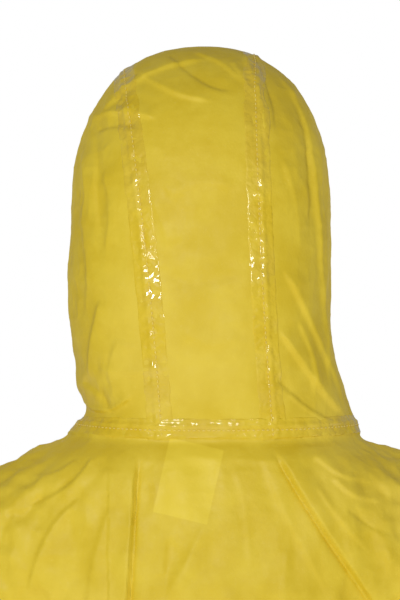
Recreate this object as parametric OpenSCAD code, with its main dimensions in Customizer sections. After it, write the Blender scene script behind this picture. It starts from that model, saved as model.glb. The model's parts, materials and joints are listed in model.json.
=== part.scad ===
// Chemical protective coverall with a three-panel hood, standing in the shape it takes on a wearer.
// Origin at the centre of the neck seam, +Z up, the front closure faces -Y, and +X is the wearer's left.

/* [Fabric] */
// Wall of the laminated fabric, thicker than real so that each panel is a solid
wall = 2.4; // [1.8:0.2:2.8]
// Width of the heat-sealed tape over each seam
tape_w = 22; // [16:1:24]
// Thickness of that tape
tape_t = 0.6; // [0.4:0.1:0.8]

/* [Hood] */
// Height of the crown above the neck seam
crown_z = 357; // [345:1:365]
// Half width of the hood over the ears
hood_half_w = 120; // [114:1:126]
// Width of the hood's centre panel
gusset_w = 103; // [92:1:112]
// Half width of the face opening
face_half_w = 84; // [78:1:88]

/* [Body] */
// Half width of the neck seam
neck_half_w = 134; // [128:1:138]
// Half width of the body at the hips
hip_half_w = 214; // [208:1:222]
// Distance from the neck's axis to the front closure
front_y = 112; // [110:1:114]
// Width of the storm flap that closes over the zipper
flap_w = 58; // [50:1:64]

/* [Sleeves] */
// Angle of the sleeves from the vertical
sleeve_angle = 28; // [26:1:32]
// Length from the shoulder's centre to the elbow's centre
upper_sleeve_l = 290; // [280:1:310]
// Length from the elbow's centre to the end of the cuff
lower_sleeve_l = 272; // [260:1:300]
// Radius of the wrist opening in the elasticated cuff
wrist_r = 36; // [32:1:38]

/* [Legs] */
// Angle of the legs from the vertical
leg_angle = 3; // [2:0.5:5]
// Length from the hip's centre to the knee's centre
upper_leg_l = 370; // [350:1:390]
// Length from the knee's centre to the end of the ankle hem
lower_leg_l = 344; // [320:1:370]
// Radius of the ankle opening in the elasticated hem
ankle_r = 46; // [42:1:50]

/* [Hidden] */

$fn = 96;
clear = 0.3;                      // gap between the slider's plates and the teeth
bond = 0.5;                       // room for the glue line between a curved panel and what is bonded to it
yellow = [0.86, 0.75, 0.24];
tape_yellow = [0.90, 0.79, 0.20];
elastic_white = [0.88, 0.87, 0.80];
liner_white = [0.93, 0.93, 0.90];
zip_yellow = [0.80, 0.66, 0.12];
slider_grey = [0.55, 0.55, 0.53];

neck_back_y = 98;                 // back of the neck seam, which is also the hood's hinge line
neck_front_z = -29;               // the neck seam dips to the front
chin_z = 38;                      // lowest point of the face opening
neck_gap = 1;                     // between the hood's lower edge and the body's upper edge
neck_tape_rows = 0.925;           // where the neck tape starts, as a share of the hood from face to neck
hem_rows = 0.035;                 // share of the hood that the face hem covers

shoulder = [168, 5, -112];
shoulder_r = 82;
hip = [112, 8, -735];
hip_r = 92;
front_bottom_z = -650;            // lower edge of the body above the leg openings, front and back
back_bottom_z = -700;

armhole_r = 86;                   // half width of the armhole, round above the shoulder's centre
armhole_drop = 140;               // and reaching this far below it
side_rows = 0.565;                // the side seam starts here, as a share of the body from neck to hips
zip_half_gap = 12;                // the front panels stop this far from the closure's centre line

// Each rib is a closed oval through a back and a front point of the middle plane:
// [back y, back z, front y, front z, half width, how late the oval leaves the back's height, squareness]
hood_ribs = [
    [-74, 292, -front_y, chin_z, face_half_w, 1, 2.2],
    [-60, 331, -front_y, 34, face_half_w + 14, 1, 2.4],
    [-20, crown_z - 3, -front_y, 29, hood_half_w - 10, 1, 2.6],
    [25, crown_z - 7, -front_y, 23, hood_half_w - 4, 1, 2.6],
    [66, crown_z - 36, -front_y, 16, hood_half_w - 2, 1, 2.6],
    [96, 268, -front_y, 9, hood_half_w - 1, 1, 2.5],
    [109, 204, -front_y, 2, hood_half_w, 1, 2.4],
    [112, 138, -front_y, -6, hood_half_w, 1.4, 2.3],
    [107, 70, -front_y, -15, hood_half_w + 2, 2, 2.3],
    [101, 25, -front_y, -24, neck_half_w - 6, 2.6, 2.4],
    [neck_back_y, 0, -front_y, neck_front_z, neck_half_w, 3, 2.4],
];
body_ribs = [
    [neck_back_y, -neck_gap, -front_y, neck_front_z - neck_gap, neck_half_w, 3, 2.4],
    [103, -9, -front_y, -38, 155, 3, 2.4],
    [108, -18, -front_y, -47, 172, 3, 2.4],
    [112, -28, -front_y, -56, 184, 3, 2.5],
    [116, -44, -front_y, -68, 190, 2.5, 2.5],
    [119, -68, -front_y, -84, 188, 1.8, 2.5],
    [122, -104, -front_y, -110, 182, 1, 2.6],
    [124, -142, -front_y, -142, 175, 1, 2.6],
    [126, -180, -front_y, -180, 166, 1, 2.6],
    [127, -216, -front_y, -216, 156, 1, 2.6],
    [127, -248, -front_y, -248, 151, 1, 2.6],
    [127, -288, -front_y, -288, 167, 1, 2.5],
    [125, -334, -front_y, -334, 185, 1, 2.4],
    [121, -382, -front_y, -382, 189, 1, 2.4],
    [118, -430, -front_y, -430, 184, 1, 2.4],
    [120, -480, -front_y, -480, 193, 1, 2.4],
    [126, -545, -front_y, -545, hip_half_w - 8, 1, 2.4],
    [130, -612, -front_y, -600, hip_half_w, 1, 2.4],
    [131, back_bottom_z, -front_y, front_bottom_z, hip_half_w, 1, 2.4],
];

// ---- surfaces -------------------------------------------------------------------------------

// Catmull-Rom interpolation of a list of vectors, t from 0 to 1
function spline(p, t) =
    let (n = len(p) - 1,
         i = min(floor(t * n), n - 1),
         f = t * n - i,
         a = p[max(i - 1, 0)],
         b = p[i],
         c = p[i + 1],
         d = p[min(i + 2, n)])
    0.5 * (2 * b + (c - a) * f + (2 * a - 5 * b + 4 * c - d) * f * f + (3 * b - 3 * c + d - a) * f * f * f);

function signed_pow(v, e) = sign(v) * pow(abs(v), e);

// Point of a rib, phi from 0 at the back over the wearer's left to 180 at the front
function rib_point(rib, phi) =
    let (c = signed_pow(cos(phi), 2 / rib[6]),
         s = signed_pow(sin(phi), 2 / rib[6]))
    [
        rib[4] * s,
        (rib[0] + rib[2]) / 2 + (rib[0] - rib[2]) / 2 * c,
        rib[1] + (rib[3] - rib[1]) * pow((1 - c) / 2, rib[5]),
    ];

function surface_point(ribs, t, phi) = rib_point(spline(ribs, t), phi);

function unit(v) = v / norm(v);

// Outward normal by finite differences, the ribs running from the top down
function surface_normal(ribs, t, phi) =
    let (h = 0.002,
         t0 = max(t - h, 0),
         t1 = min(t + h, 1),
         across = surface_point(ribs, t, phi + 0.5) - surface_point(ribs, t, phi - 0.5),
         down = surface_point(ribs, t1, phi) - surface_point(ribs, t0, phi))
    unit(cross(across, down));

function offset_point(ribs, t, phi, o) =
    surface_point(ribs, t, phi) + o * surface_normal(ribs, t, phi);

// Angle on a rib at which the surface is x away from the middle plane, on the back half
function phi_at_x(ribs, t, x) =
    let (rib = spline(ribs, t))
    asin(pow(min(abs(x) / rib[4], 1), rib[6] / 2)) * sign(x);

// Closed solid between two grids of points, each grid a list of rows
module between(outer, inner) {
    rows = len(outer);
    cols = len(outer[0]);
    n = rows * cols;
    points = concat([for (r = outer) each r], [for (r = inner) each r]);
    function at(i, j) = i * cols + j;
    function quad(a, b, c, d) = [[a, b, c], [a, c, d]];
    faces = concat(
        [for (i = [0:rows - 2], j = [0:cols - 2])
            each quad(at(i, j), at(i + 1, j), at(i + 1, j + 1), at(i, j + 1))],
        [for (i = [0:rows - 2], j = [0:cols - 2])
            each quad(n + at(i, j), n + at(i, j + 1), n + at(i + 1, j + 1), n + at(i + 1, j))],
        [for (i = [0:rows - 2])
            each quad(at(i, 0), n + at(i, 0), n + at(i + 1, 0), at(i + 1, 0))],
        [for (i = [0:rows - 2])
            each quad(at(i, cols - 1), at(i + 1, cols - 1), n + at(i + 1, cols - 1), n + at(i, cols - 1))],
        [for (j = [0:cols - 2])
            each quad(at(0, j), at(0, j + 1), n + at(0, j + 1), n + at(0, j))],
        [for (j = [0:cols - 2])
            each quad(at(rows - 1, j), n + at(rows - 1, j), n + at(rows - 1, j + 1), at(rows - 1, j + 1))]);
    polyhedron(points = points, faces = faces, convexity = 6);
}

// Patch of a ribbed surface: rows over share t0 to t1, columns between two angles that may vary
// with the row, and thickness from offset inside to offset outside
module patch(ribs, t0, t1, rows, cols, phi_from, phi_to, inside, outside) {
    ts = [for (i = [0:rows]) t0 + (t1 - t0) * i / rows];
    function grid(o) = [
        for (t = ts) let (a = phi_from(t), b = phi_to(t))
            [for (j = [0:cols]) offset_point(ribs, t, a + (b - a) * j / cols, o)]
    ];
    between(grid(outside), grid(inside));
}

// ---- hood -----------------------------------------------------------------------------------

hood_rows = 26;

module hood_centre_panel() {
    color(yellow)
        patch(hood_ribs, 0, 1, hood_rows, 8,
              function (t) phi_at_x(hood_ribs, t, -gusset_w / 2),
              function (t) phi_at_x(hood_ribs, t, gusset_w / 2),
              -wall, 0);
}

module hood_side_panel() {
    color(yellow)
        patch(hood_ribs, 0, 1, hood_rows, 14,
              function (t) phi_at_x(hood_ribs, t, gusset_w / 2),
              function (t) 180 - phi_at_x(hood_ribs, t, 2),
              -wall, 0);
}

module hood_seam_tape() {
    color(tape_yellow)
        patch(hood_ribs, hem_rows, neck_tape_rows, hood_rows, 2,
              function (t) phi_at_x(hood_ribs, t, gusset_w / 2 - tape_w / 2),
              function (t) phi_at_x(hood_ribs, t, gusset_w / 2 + tape_w / 2),
              bond, bond + tape_t);
}

module neck_seam_tape() {
    color(tape_yellow)
        patch(hood_ribs, neck_tape_rows, 1, 2, 44,
              function (t) -179, function (t) 179, bond, bond + tape_t);
}

module face_hem() {
    color(yellow)
        patch(hood_ribs, 0, hem_rows, 1, 36,
              function (t) -179, function (t) 179, bond, bond + 1.2);
}

module face_elastic() {
    color(elastic_white)
        patch(hood_ribs, 0.004, hem_rows - 0.006, 1, 36,
              function (t) -176, function (t) 176, -wall - bond - 1.2, -wall - bond);
}

// The chin flap bridges the hood's front edges; its hinge edge is a fold on the wearer's right
chin_hinge_x = -28;
chin_flap_y = -front_y - 1.6;
chin_flap_size = [58, 1.2, 50];

module chin_flap() {
    color(yellow)
        translate([chin_hinge_x, chin_flap_y, -16])
            rotate([90, 0, 0])
                linear_extrude(chin_flap_size[1])
                    polygon([[0, 0], [chin_flap_size[0], 8], [chin_flap_size[0], 36], [0, chin_flap_size[2]]]);
}

module chin_flap_adhesive() {
    color(liner_white)
        translate([chin_hinge_x + 38, chin_flap_y, -6])
            cube([14, 0.5, 24]);
}

// ---- body -----------------------------------------------------------------------------------

function in_armhole(t, phi) =
    let (p = surface_point(body_ribs, t, phi) - shoulder,
         z = p[2] > 0 ? p[2] : p[2] * armhole_r / armhole_drop)
    norm([p[1], z]) < armhole_r;

// Side edge of a panel: the side seam, except where the armhole is cut, its rim found by halving
function panel_edge(t, solid_phi) = in_armhole(t, 90) ? armhole_rim(t, solid_phi, 90, 12) : 90;

function armhole_rim(t, solid_phi, cut_phi, n) =
    let (middle = (solid_phi + cut_phi) / 2)
    n == 0 ? solid_phi :
    in_armhole(t, middle) ? armhole_rim(t, solid_phi, middle, n - 1) : armhole_rim(t, middle, cut_phi, n - 1);

function zip_edge(t) = 180 - phi_at_x(body_ribs, t, zip_half_gap);

body_rows = 45;

module back_panel() {
    color(yellow)
        patch(body_ribs, 0, 1, body_rows, 22,
              function (t) -panel_edge(t, 10), function (t) panel_edge(t, 10), -wall, 0);
}

module front_panel() {
    color(yellow)
        patch(body_ribs, 0, 1, body_rows, 12,
              function (t) panel_edge(t, 170), function (t) zip_edge(t), -wall, 0);
}

module side_seam_tape() {
    half = function (t) asin(tape_w / 2 / spline(body_ribs, t)[4]) * 1.4;
    color(tape_yellow)
        patch(body_ribs, side_rows, 1, 30, 2,
              function (t) 90 - half(t), function (t) 90 + half(t), bond, bond + tape_t);
}

module shoulder_seam_tape() {
    color(tape_yellow)
        patch(body_ribs, 0.01, 0.12, 4, 2,
              function (t) 84, function (t) 96, bond, bond + tape_t);
}

module waist_elastic() {
    color(elastic_white)
        patch(body_ribs, 0.755, 0.775, 1, 40,
              function (t) -150, function (t) 150, -wall - bond - 1.2, -wall - bond);
}

module size_label() {
    color(liner_white)
        patch(body_ribs, 0.012, 0.245, 4, 4,
              function (t) phi_at_x(body_ribs, t, -25), function (t) phi_at_x(body_ribs, t, 25),
              -wall - bond - 0.8, -wall - bond);
}

// Gusset under the crotch, from the front panels' lower edge to the back panel's: [y, z, half width, bow]
gusset_path = [
    [-front_y, front_bottom_z, 72, 4], [-front_y + 1, -686, 60, 3], [-103, -722, 34, 1], [-82, -756, 17, 0],
    [-46, -782, 15, 0], [4, -792, 15, 0], [54, -786, 15, 0], [94, -764, 18, 0], [120, -734, 40, -2],
    [131, back_bottom_z, 72, -4],
];

module crotch_gusset() {
    steps = 36;
    function along(a) = spline(gusset_path, a);
    function down(a) = unit(along(min(a + 0.01, 1)) - along(max(a - 0.01, 0)));
    function row(a, o) =
        let (p = along(a), d = down(a))
        [for (u = [1, 0.5, 0, -0.5, -1])
            [p[2] * u, p[0] + d[1] * o / norm([d[0], d[1]]) + p[3] * u * u, p[1] - d[0] * o / norm([d[0], d[1]])]];
    color(yellow)
        between([for (i = [0:steps]) row(i / steps, 0)],
                [for (i = [0:steps]) row(i / steps, wall)]);
}

// ---- closure --------------------------------------------------------------------------------

zip_top_z = -33;
zip_bottom_z = -628;
tooth_pitch = 5.2;
tooth_t = 2.4;
chain_y = -front_y + 0.2;         // middle of the teeth
slider_l = 14;
slider_z = zip_top_z - 5 - slider_l;
pin_y = chain_y - 5.5;
pin_z = slider_z + slider_l - 4;
pin_r = 0.9;
pin_fit = 0.05;

module zipper_tape() {
    color(zip_yellow)
        translate([3.8, -front_y + wall + 1, zip_bottom_z - 8])
            cube([16, 0.8, zip_top_z - zip_bottom_z + 8]);
    color(zip_yellow)
        translate([2.2, chain_y + tooth_t / 2, zip_bottom_z - 8])
            cube([1.6, wall + 1.6 - tooth_t / 2, zip_top_z - zip_bottom_z + 8]);
}

// One side's teeth as a comb that meshes with the other side's
module zipper_chain(side) {
    count = floor((zip_top_z - zip_bottom_z - 4) / tooth_pitch);
    shift = side > 0 ? 0 : tooth_pitch / 2;
    color(zip_yellow)
        translate([0, chain_y + tooth_t / 2, zip_bottom_z])
            rotate([90, 0, 0])
                linear_extrude(tooth_t)
                    scale([side, 1])
                        union() {
                            translate([2.2, 0]) square([1.6, zip_top_z - zip_bottom_z]);
                            for (i = [0:count - 1])
                                translate([-1.3, i * tooth_pitch + shift + 0.4]) square([3.6, 2.1]);
                        }
}

module zipper_top_stops() {
    color(slider_grey)
        for (side = [-1, 1])
            translate([side * 3 - 1.1, chain_y - tooth_t / 2 - 0.8, zip_top_z])
                cube([2.2, tooth_t + 0.8, 3]);
}

module zipper_bottom_stop() {
    color(slider_grey)
        translate([-4, chain_y - tooth_t / 2 - 0.8, zip_bottom_z - 5])
            cube([8, tooth_t + 0.8, 5]);
}

// Front plate with side rails and pull pin, and the back plate behind the tapes
module zipper_slider() {
    rail_x = 4.4;
    rail_t = 1.4;
    front_plate_y = chain_y - tooth_t / 2 - clear;
    color(slider_grey) {
        translate([0, front_plate_y, slider_z])
            rotate([90, 0, 0])
                linear_extrude(1.6)
                    polygon([[-4.2, 0], [4.2, 0], [rail_x + rail_t, 5],
                             [rail_x + rail_t, slider_l], [-rail_x - rail_t, slider_l], [-rail_x - rail_t, 5]]);
        for (side = [-1, 1]) {
            translate([side * (rail_x + rail_t / 2) - rail_t / 2, front_plate_y, slider_z + 5])
                cube([rail_t, tooth_t / 2 + clear, slider_l - 5]);
            translate([side * 4.1 - 0.8, pin_y - 1.3, pin_z - 1.3])
                cube([1.6, front_plate_y - 1.6 - pin_y + 1.4, 2.6]);
        }
        translate([-4, pin_y, pin_z]) rotate([0, 90, 0]) cylinder(h = 8, r = pin_r);
        translate([-5.2, -front_y + wall + 2.2, slider_z + 2]) cube([10.4, 1.2, slider_l - 3]);
    }
}

module zipper_pull_tab() {
    eye_r = 2;
    tab_w = 8;
    tab_l = 34;
    tab_t = 1.6;
    color(slider_grey)
        difference() {
            union() {
                translate([-3, pin_y, pin_z]) rotate([0, 90, 0]) cylinder(h = 6, r = eye_r);
                translate([-3, pin_y - tab_t / 2, pin_z - 8]) cube([6, tab_t, 8]);
                translate([0, pin_y + tab_t / 2, pin_z - 8])
                    rotate([90, 0, 0])
                        linear_extrude(tab_t)
                            difference() {
                                union() {
                                    translate([-tab_w / 2, -tab_l + 14]) square([tab_w, tab_l - 14]);
                                    translate([0, -tab_l + 14]) circle(r = tab_w / 2);
                                }
                                translate([0, -tab_l + 15]) circle(r = 1.8);
                            }
            }
            translate([-3.5, pin_y, pin_z]) rotate([0, 90, 0]) cylinder(h = 7, r = pin_r + pin_fit);
        }
}

// The flap folds along a vertical line beside the zipper and lies open against the chest
flap_hinge = [-28, -front_y - 6.4];
flap_open = 160;
flap_bottom_z = zip_bottom_z - 8;
flap_top_z = -36;
flap_t = 1.2;
flap_plane = -3.2;                // the closed flap passes this far in front of its fold line

module storm_flap_base() {
    color(yellow)
        translate([flap_hinge[0] - 13, 0, flap_bottom_z])
            linear_extrude(flap_top_z - flap_bottom_z)
                polygon([[0, -front_y - 1.4], [13, -front_y - 1.4], [13, flap_hinge[1] + 1.2],
                         [14.2, flap_hinge[1] + 1.2], [14.2, -front_y - 0.2], [0, -front_y + 0.6]]);
}

module on_open_flap() {
    translate([flap_hinge[0], flap_hinge[1], flap_bottom_z])
        rotate([0, 0, -flap_open])
            children();
}

module storm_flap() {
    color(yellow)
        on_open_flap()
            linear_extrude(flap_top_z - flap_bottom_z)
                polygon([[0.2, -0.6], [0.8, flap_plane - flap_t / 2], [flap_w, flap_plane - flap_t / 2],
                         [flap_w, flap_plane + flap_t / 2], [2.2, flap_plane + flap_t / 2], [1.4, -0.2]]);
}

module storm_flap_adhesive() {
    color(liner_white)
        on_open_flap()
            translate([flap_w - 19, flap_plane + flap_t / 2, 12])
                cube([14, 0.5, flap_top_z - flap_bottom_z - 24]);
}

// ---- sleeves and legs -----------------------------------------------------------------------

// Limb profiles are lists of [distance down the limb from the joint, outer radius]
function ball_profile(r, from, to) = [for (a = [from:4:to]) [-r * cos(a), r * sin(a)]];

function upper_sleeve_profile() = concat(
    ball_profile(shoulder_r, 20, 104),
    [[60, 77], [120, 72.5], [180, 68.5], [240, 65], [upper_sleeve_l + 14, 62]]);

elbow_r = 58;
cuff_l = 22;
function lower_sleeve_profile() = concat(
    ball_profile(elbow_r, 40, 104),
    [[40, 54.5], [120, 50.5], [190, 46], [225, 41.5],
     [lower_sleeve_l - cuff_l - 8, wrist_r + 3.6], [lower_sleeve_l - cuff_l, wrist_r + 2.4]]);

function upper_leg_profile() = concat(
    ball_profile(hip_r, 50, 98),
    [[60, 90.5], [150, 87.5], [250, 84], [upper_leg_l + 14, 82]]);

knee_r = 78;
ankle_l = 24;
function lower_leg_profile() = concat(
    ball_profile(knee_r, 40, 104),
    [[60, 73], [150, 69], [230, 63], [285, 55.5],
     [lower_leg_l - ankle_l - 8, ankle_r + 3.6], [lower_leg_l - ankle_l, ankle_r + 2.4]]);

// Solid of revolution between two offsets of a profile, hanging down from the joint
module turned(profile, inside, outside, angle = 360) {
    n = len(profile);
    rotate([0, 0, -angle / 2])
        rotate_extrude(angle = angle)
            polygon(concat(
                [for (p = profile) [p[1] + outside, -p[0]]],
                [for (i = [n - 1:-1:0]) [profile[i][1] + inside, -profile[i][0]]]));
}

module limb_at(joint, angle, down = 0) {
    translate(joint) rotate([0, -angle, 0]) translate([0, 0, -down]) children();
}

// Angle of a tape strip of width tape_w at a radius
function tape_angle(r) = 360 * tape_w / (2 * PI * r);

module left_upper_sleeve() {
    mouth_r = 58;
    color(yellow)
        difference() {
            limb_at(shoulder, sleeve_angle) turned(upper_sleeve_profile(), -wall, 0);
            translate(shoulder) rotate([0, -45, 0]) cylinder(h = shoulder_r + 10, r = mouth_r);
            // slanted lower end, higher on the side that the elbow folds to
            limb_at(shoulder, sleeve_angle, upper_sleeve_l)
                rotate([-30, 0, 0])
                    translate([-150, -150, -180 + 25]) cube([300, 300, 180]);
        }
}

module left_lower_sleeve() {
    color(yellow)
        limb_at(shoulder, sleeve_angle, upper_sleeve_l) turned(lower_sleeve_profile(), -wall, 0);
}

// The underarm seam's tape runs down the side that faces the body
function below(profile, d) = [for (p = profile) if (p[0] >= d) p];

module left_upper_sleeve_tape() {
    strip = [for (p = upper_sleeve_profile()) if (p[0] > 59 && p[0] < upper_sleeve_l) p];
    color(tape_yellow)
        limb_at(shoulder, sleeve_angle)
            rotate([0, 0, 180])
                turned(strip, 0, tape_t, tape_angle(70));
}

module left_lower_sleeve_tape() {
    color(tape_yellow)
        limb_at(shoulder, sleeve_angle, upper_sleeve_l)
            rotate([0, 0, 180])
                turned(below(lower_sleeve_profile(), 39), 0, tape_t, tape_angle(50));
}

// Doubled hem with the elastic band glued inside it
module hem(r, length, joint, angle, down) {
    limb_at(joint, angle, down)
        translate([0, 0, -length])
            difference() {
                cylinder(h = length, r = r + 3.4);
                translate([0, 0, -1]) cylinder(h = length + 2, r = r + 1.4);
            }
}

module hem_elastic(r, length, joint, angle, down) {
    band = 14;
    limb_at(joint, angle, down)
        translate([0, 0, -(length + band) / 2])
            difference() {
                cylinder(h = band, r = r + 1.4);
                translate([0, 0, -1]) cylinder(h = band + 2, r = r);
            }
}

module left_cuff() {
    color(yellow) hem(wrist_r, cuff_l, shoulder, sleeve_angle, upper_sleeve_l + lower_sleeve_l - cuff_l);
}

module left_wrist_elastic() {
    color(elastic_white)
        hem_elastic(wrist_r, cuff_l, shoulder, sleeve_angle, upper_sleeve_l + lower_sleeve_l - cuff_l);
}

// Loop of elastic cord on the cuff's front edge, for the thumb
module left_thumb_loop() {
    cord_r = 1.5;
    half_gap = 11;
    leg = 34;
    color(elastic_white)
        limb_at(shoulder, sleeve_angle, upper_sleeve_l + lower_sleeve_l)
            translate([0, -wrist_r - 3, 0]) {
                for (side = [-1, 1])
                    translate([side * half_gap, 0, -leg]) cylinder(h = leg, r = cord_r, $fn = 24);
                translate([0, 0, -leg])
                    rotate([-90, 0, 0])
                        rotate_extrude(angle = 180) translate([half_gap, 0]) circle(r = cord_r, $fn = 24);
            }
}

module left_upper_leg() {
    color(yellow)
        difference() {
            limb_at(hip, leg_angle) turned(upper_leg_profile(), -wall, 0);
            // slanted lower end, higher at the back where the knee folds
            limb_at(hip, leg_angle, upper_leg_l)
                rotate([28, 0, 0])
                    translate([-150, -150, -220 + 34]) cube([300, 300, 220]);
        }
}

module left_lower_leg() {
    color(yellow)
        limb_at(hip, leg_angle, upper_leg_l) turned(lower_leg_profile(), -wall, 0);
}

module left_upper_leg_tape() {
    strip = [for (p = upper_leg_profile()) if (p[0] > 59 && p[0] < upper_leg_l) p];
    color(tape_yellow)
        limb_at(hip, leg_angle)
            rotate([0, 0, 180])
                turned(strip, 0, tape_t, tape_angle(87));
}

module left_lower_leg_tape() {
    color(tape_yellow)
        limb_at(hip, leg_angle, upper_leg_l)
            rotate([0, 0, 180])
                turned(below(lower_leg_profile(), 59), 0, tape_t, tape_angle(66));
}

module left_ankle_hem() {
    color(yellow) hem(ankle_r, ankle_l, hip, leg_angle, upper_leg_l + lower_leg_l - ankle_l);
}

module left_ankle_elastic() {
    color(elastic_white) hem_elastic(ankle_r, ankle_l, hip, leg_angle, upper_leg_l + lower_leg_l - ankle_l);
}

// The wearer's left is +X, and the right-hand pieces are mirror images
module sided(side) {
    mirror([side == "right" ? 1 : 0, 0, 0]) children();
}

hood_centre_panel();
neck_seam_tape();
face_hem();
face_elastic();
chin_flap();
chin_flap_adhesive();
back_panel();
crotch_gusset();
waist_elastic();
size_label();
zipper_top_stops();
zipper_bottom_stop();
zipper_slider();
zipper_pull_tab();
storm_flap_base();
storm_flap();
storm_flap_adhesive();
zipper_chain(1);  // zipper_chain_left
zipper_chain(-1);  // zipper_chain_right

for (side = ["left", "right"]) {
    sided(side) hood_side_panel();
    sided(side) hood_seam_tape();
    sided(side) front_panel();
    sided(side) side_seam_tape();
    sided(side) shoulder_seam_tape();
    sided(side) zipper_tape();
    sided(side) left_upper_sleeve();
    sided(side) left_upper_sleeve_tape();
    sided(side) left_lower_sleeve();
    sided(side) left_lower_sleeve_tape();
    sided(side) left_cuff();
    sided(side) left_wrist_elastic();
    sided(side) left_thumb_loop();
    sided(side) left_upper_leg();
    sided(side) left_upper_leg_tape();
    sided(side) left_lower_leg();
    sided(side) left_lower_leg_tape();
    sided(side) left_ankle_hem();
    sided(side) left_ankle_elastic();
}
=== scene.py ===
"""Looks of a hooded chemical protective coverall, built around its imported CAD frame."""

import math

import bmesh
import bpy
import numpy as np
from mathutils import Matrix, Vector
from mathutils.bvhtree import BVHTree
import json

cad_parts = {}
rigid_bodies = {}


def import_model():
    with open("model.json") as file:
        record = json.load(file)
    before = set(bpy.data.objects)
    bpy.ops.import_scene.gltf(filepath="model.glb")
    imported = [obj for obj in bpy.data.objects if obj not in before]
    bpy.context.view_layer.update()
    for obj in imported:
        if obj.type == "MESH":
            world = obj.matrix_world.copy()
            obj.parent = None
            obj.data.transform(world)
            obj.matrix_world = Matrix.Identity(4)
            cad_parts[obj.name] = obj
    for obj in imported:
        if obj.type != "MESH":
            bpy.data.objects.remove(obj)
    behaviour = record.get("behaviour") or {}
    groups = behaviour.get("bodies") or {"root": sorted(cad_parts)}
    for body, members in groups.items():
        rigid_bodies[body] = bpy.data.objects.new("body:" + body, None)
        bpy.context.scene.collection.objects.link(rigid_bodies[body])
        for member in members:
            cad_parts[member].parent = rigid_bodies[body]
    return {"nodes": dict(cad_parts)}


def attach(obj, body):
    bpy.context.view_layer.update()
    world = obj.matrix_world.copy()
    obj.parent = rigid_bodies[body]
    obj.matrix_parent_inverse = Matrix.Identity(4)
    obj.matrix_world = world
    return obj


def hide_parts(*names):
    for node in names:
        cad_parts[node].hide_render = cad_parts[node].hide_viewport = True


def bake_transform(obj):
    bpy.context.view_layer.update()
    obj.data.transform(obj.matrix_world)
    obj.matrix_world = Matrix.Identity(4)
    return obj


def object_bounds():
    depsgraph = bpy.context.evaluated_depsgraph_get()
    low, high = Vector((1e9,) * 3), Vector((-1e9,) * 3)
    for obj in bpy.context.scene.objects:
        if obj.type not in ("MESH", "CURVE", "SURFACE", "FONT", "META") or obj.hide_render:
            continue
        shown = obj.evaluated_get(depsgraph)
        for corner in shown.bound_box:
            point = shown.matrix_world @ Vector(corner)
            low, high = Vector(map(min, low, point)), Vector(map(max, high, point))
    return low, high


for leftover in list(bpy.data.objects):
    bpy.data.objects.remove(leftover)
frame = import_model()
cad_low, cad_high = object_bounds()

MM = 0.001

# ---- camera -----------------------------------------------------------------------------------

VIEW_DISTANCE = 2450  # mm from the hood's axis, behind the wearer
VIEW_HEIGHT = 200
MM_PER_PIXEL = 0.925
CENTRE_X = 3.7
CENTRE_Z = 120.0
LONG_SIDE = 600

camera_data = bpy.data.cameras.new("camera")
camera = bpy.data.objects.new("camera", camera_data)
bpy.context.scene.collection.objects.link(camera)
bpy.context.scene.camera = camera
camera_data.sensor_width = 36
camera_data.lens = 36 * VIEW_DISTANCE / (LONG_SIDE * MM_PER_PIXEL)
camera_data.clip_end = 50
eye = Vector((CENTRE_X, VIEW_DISTANCE, VIEW_HEIGHT)) * MM
aim = Vector((CENTRE_X, 0, CENTRE_Z)) * MM
camera.location = eye
camera.rotation_mode = "QUATERNION"
camera.rotation_quaternion = (aim - eye).to_track_quat("-Z", "Y")


# ---- numbers shared with the CAD source, in mm --------------------------------------------------

NECK_BACK_Y, NECK_FRONT_Y, NECK_DIP = 98, -112, 29
SHOULDER = np.array([168.0, 5.0, -112.0])
HIP = np.array([112.0, 8.0, -735.0])
SLEEVE_TILT, LEG_TILT = math.radians(28), math.radians(3)
ARM = np.array([math.sin(SLEEVE_TILT), 0, -math.cos(SLEEVE_TILT)])
LEG = np.array([math.sin(LEG_TILT), 0, -math.cos(LEG_TILT)])
WAIST_Z = -418
UPPER_SLEEVE, LOWER_SLEEVE, CUFF = 290, 272, 22
UPPER_LEG, LOWER_LEG, ANKLE_HEM = 370, 344, 24
ZIP_TOP, ZIP_BOTTOM, ZIP_HALF_GAP = -31, -636, 12
TAPE_W = 23.0
SIDES = {"left": 1, "right": -1}


# ---- numeric helpers ---------------------------------------------------------------------------


def curve(knots, x):
    """Smooth curve through (place, value) knots, constant beyond them."""
    xs, ys = np.array(sorted(knots), float).T
    slope = np.gradient(ys, xs)
    i = np.clip(np.searchsorted(xs, x) - 1, 0, len(xs) - 2)
    h = xs[i + 1] - xs[i]
    t = np.clip((x - xs[i]) / h, 0, 1)
    return (
        (2 * t**3 - 3 * t**2 + 1) * ys[i]
        + (t**3 - 2 * t**2 + t) * h * slope[i]
        + (3 * t**2 - 2 * t**3) * ys[i + 1]
        + (t**3 - t**2) * h * slope[i + 1]
    )


def smooth(x, low, high):
    t = np.clip((x - low) / (high - low), 0, 1)
    return t * t * (3 - 2 * t)


def soft_min(a, b, k):
    h = np.clip(k - np.abs(a - b), 0, None) / k
    return np.minimum(a, b) - h * h * k / 4


_lattice = np.random.default_rng(7).uniform(-1, 1, (32, 32, 32))


def noise(p, size):
    """Smooth noise from about -1 to 1 at points p, with features about size mm wide, or one size per axis."""
    q = np.asarray(p) / size
    i = np.floor(q).astype(int)
    f = q - i
    f = f * f * f * (f * (f * 6 - 15) + 10)
    out = 0
    for a in (0, 1):
        for b in (0, 1):
            for c in (0, 1):
                w = (
                    (f[..., 0] if a else 1 - f[..., 0])
                    * (f[..., 1] if b else 1 - f[..., 1])
                    * (f[..., 2] if c else 1 - f[..., 2])
                )
                out = out + w * _lattice[(i[..., 0] + a) % 32, (i[..., 1] + b) % 32, (i[..., 2] + c) % 32]
    return out * 1.6


# ---- the worn suit as one surface ---------------------------------------------------------------

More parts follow.
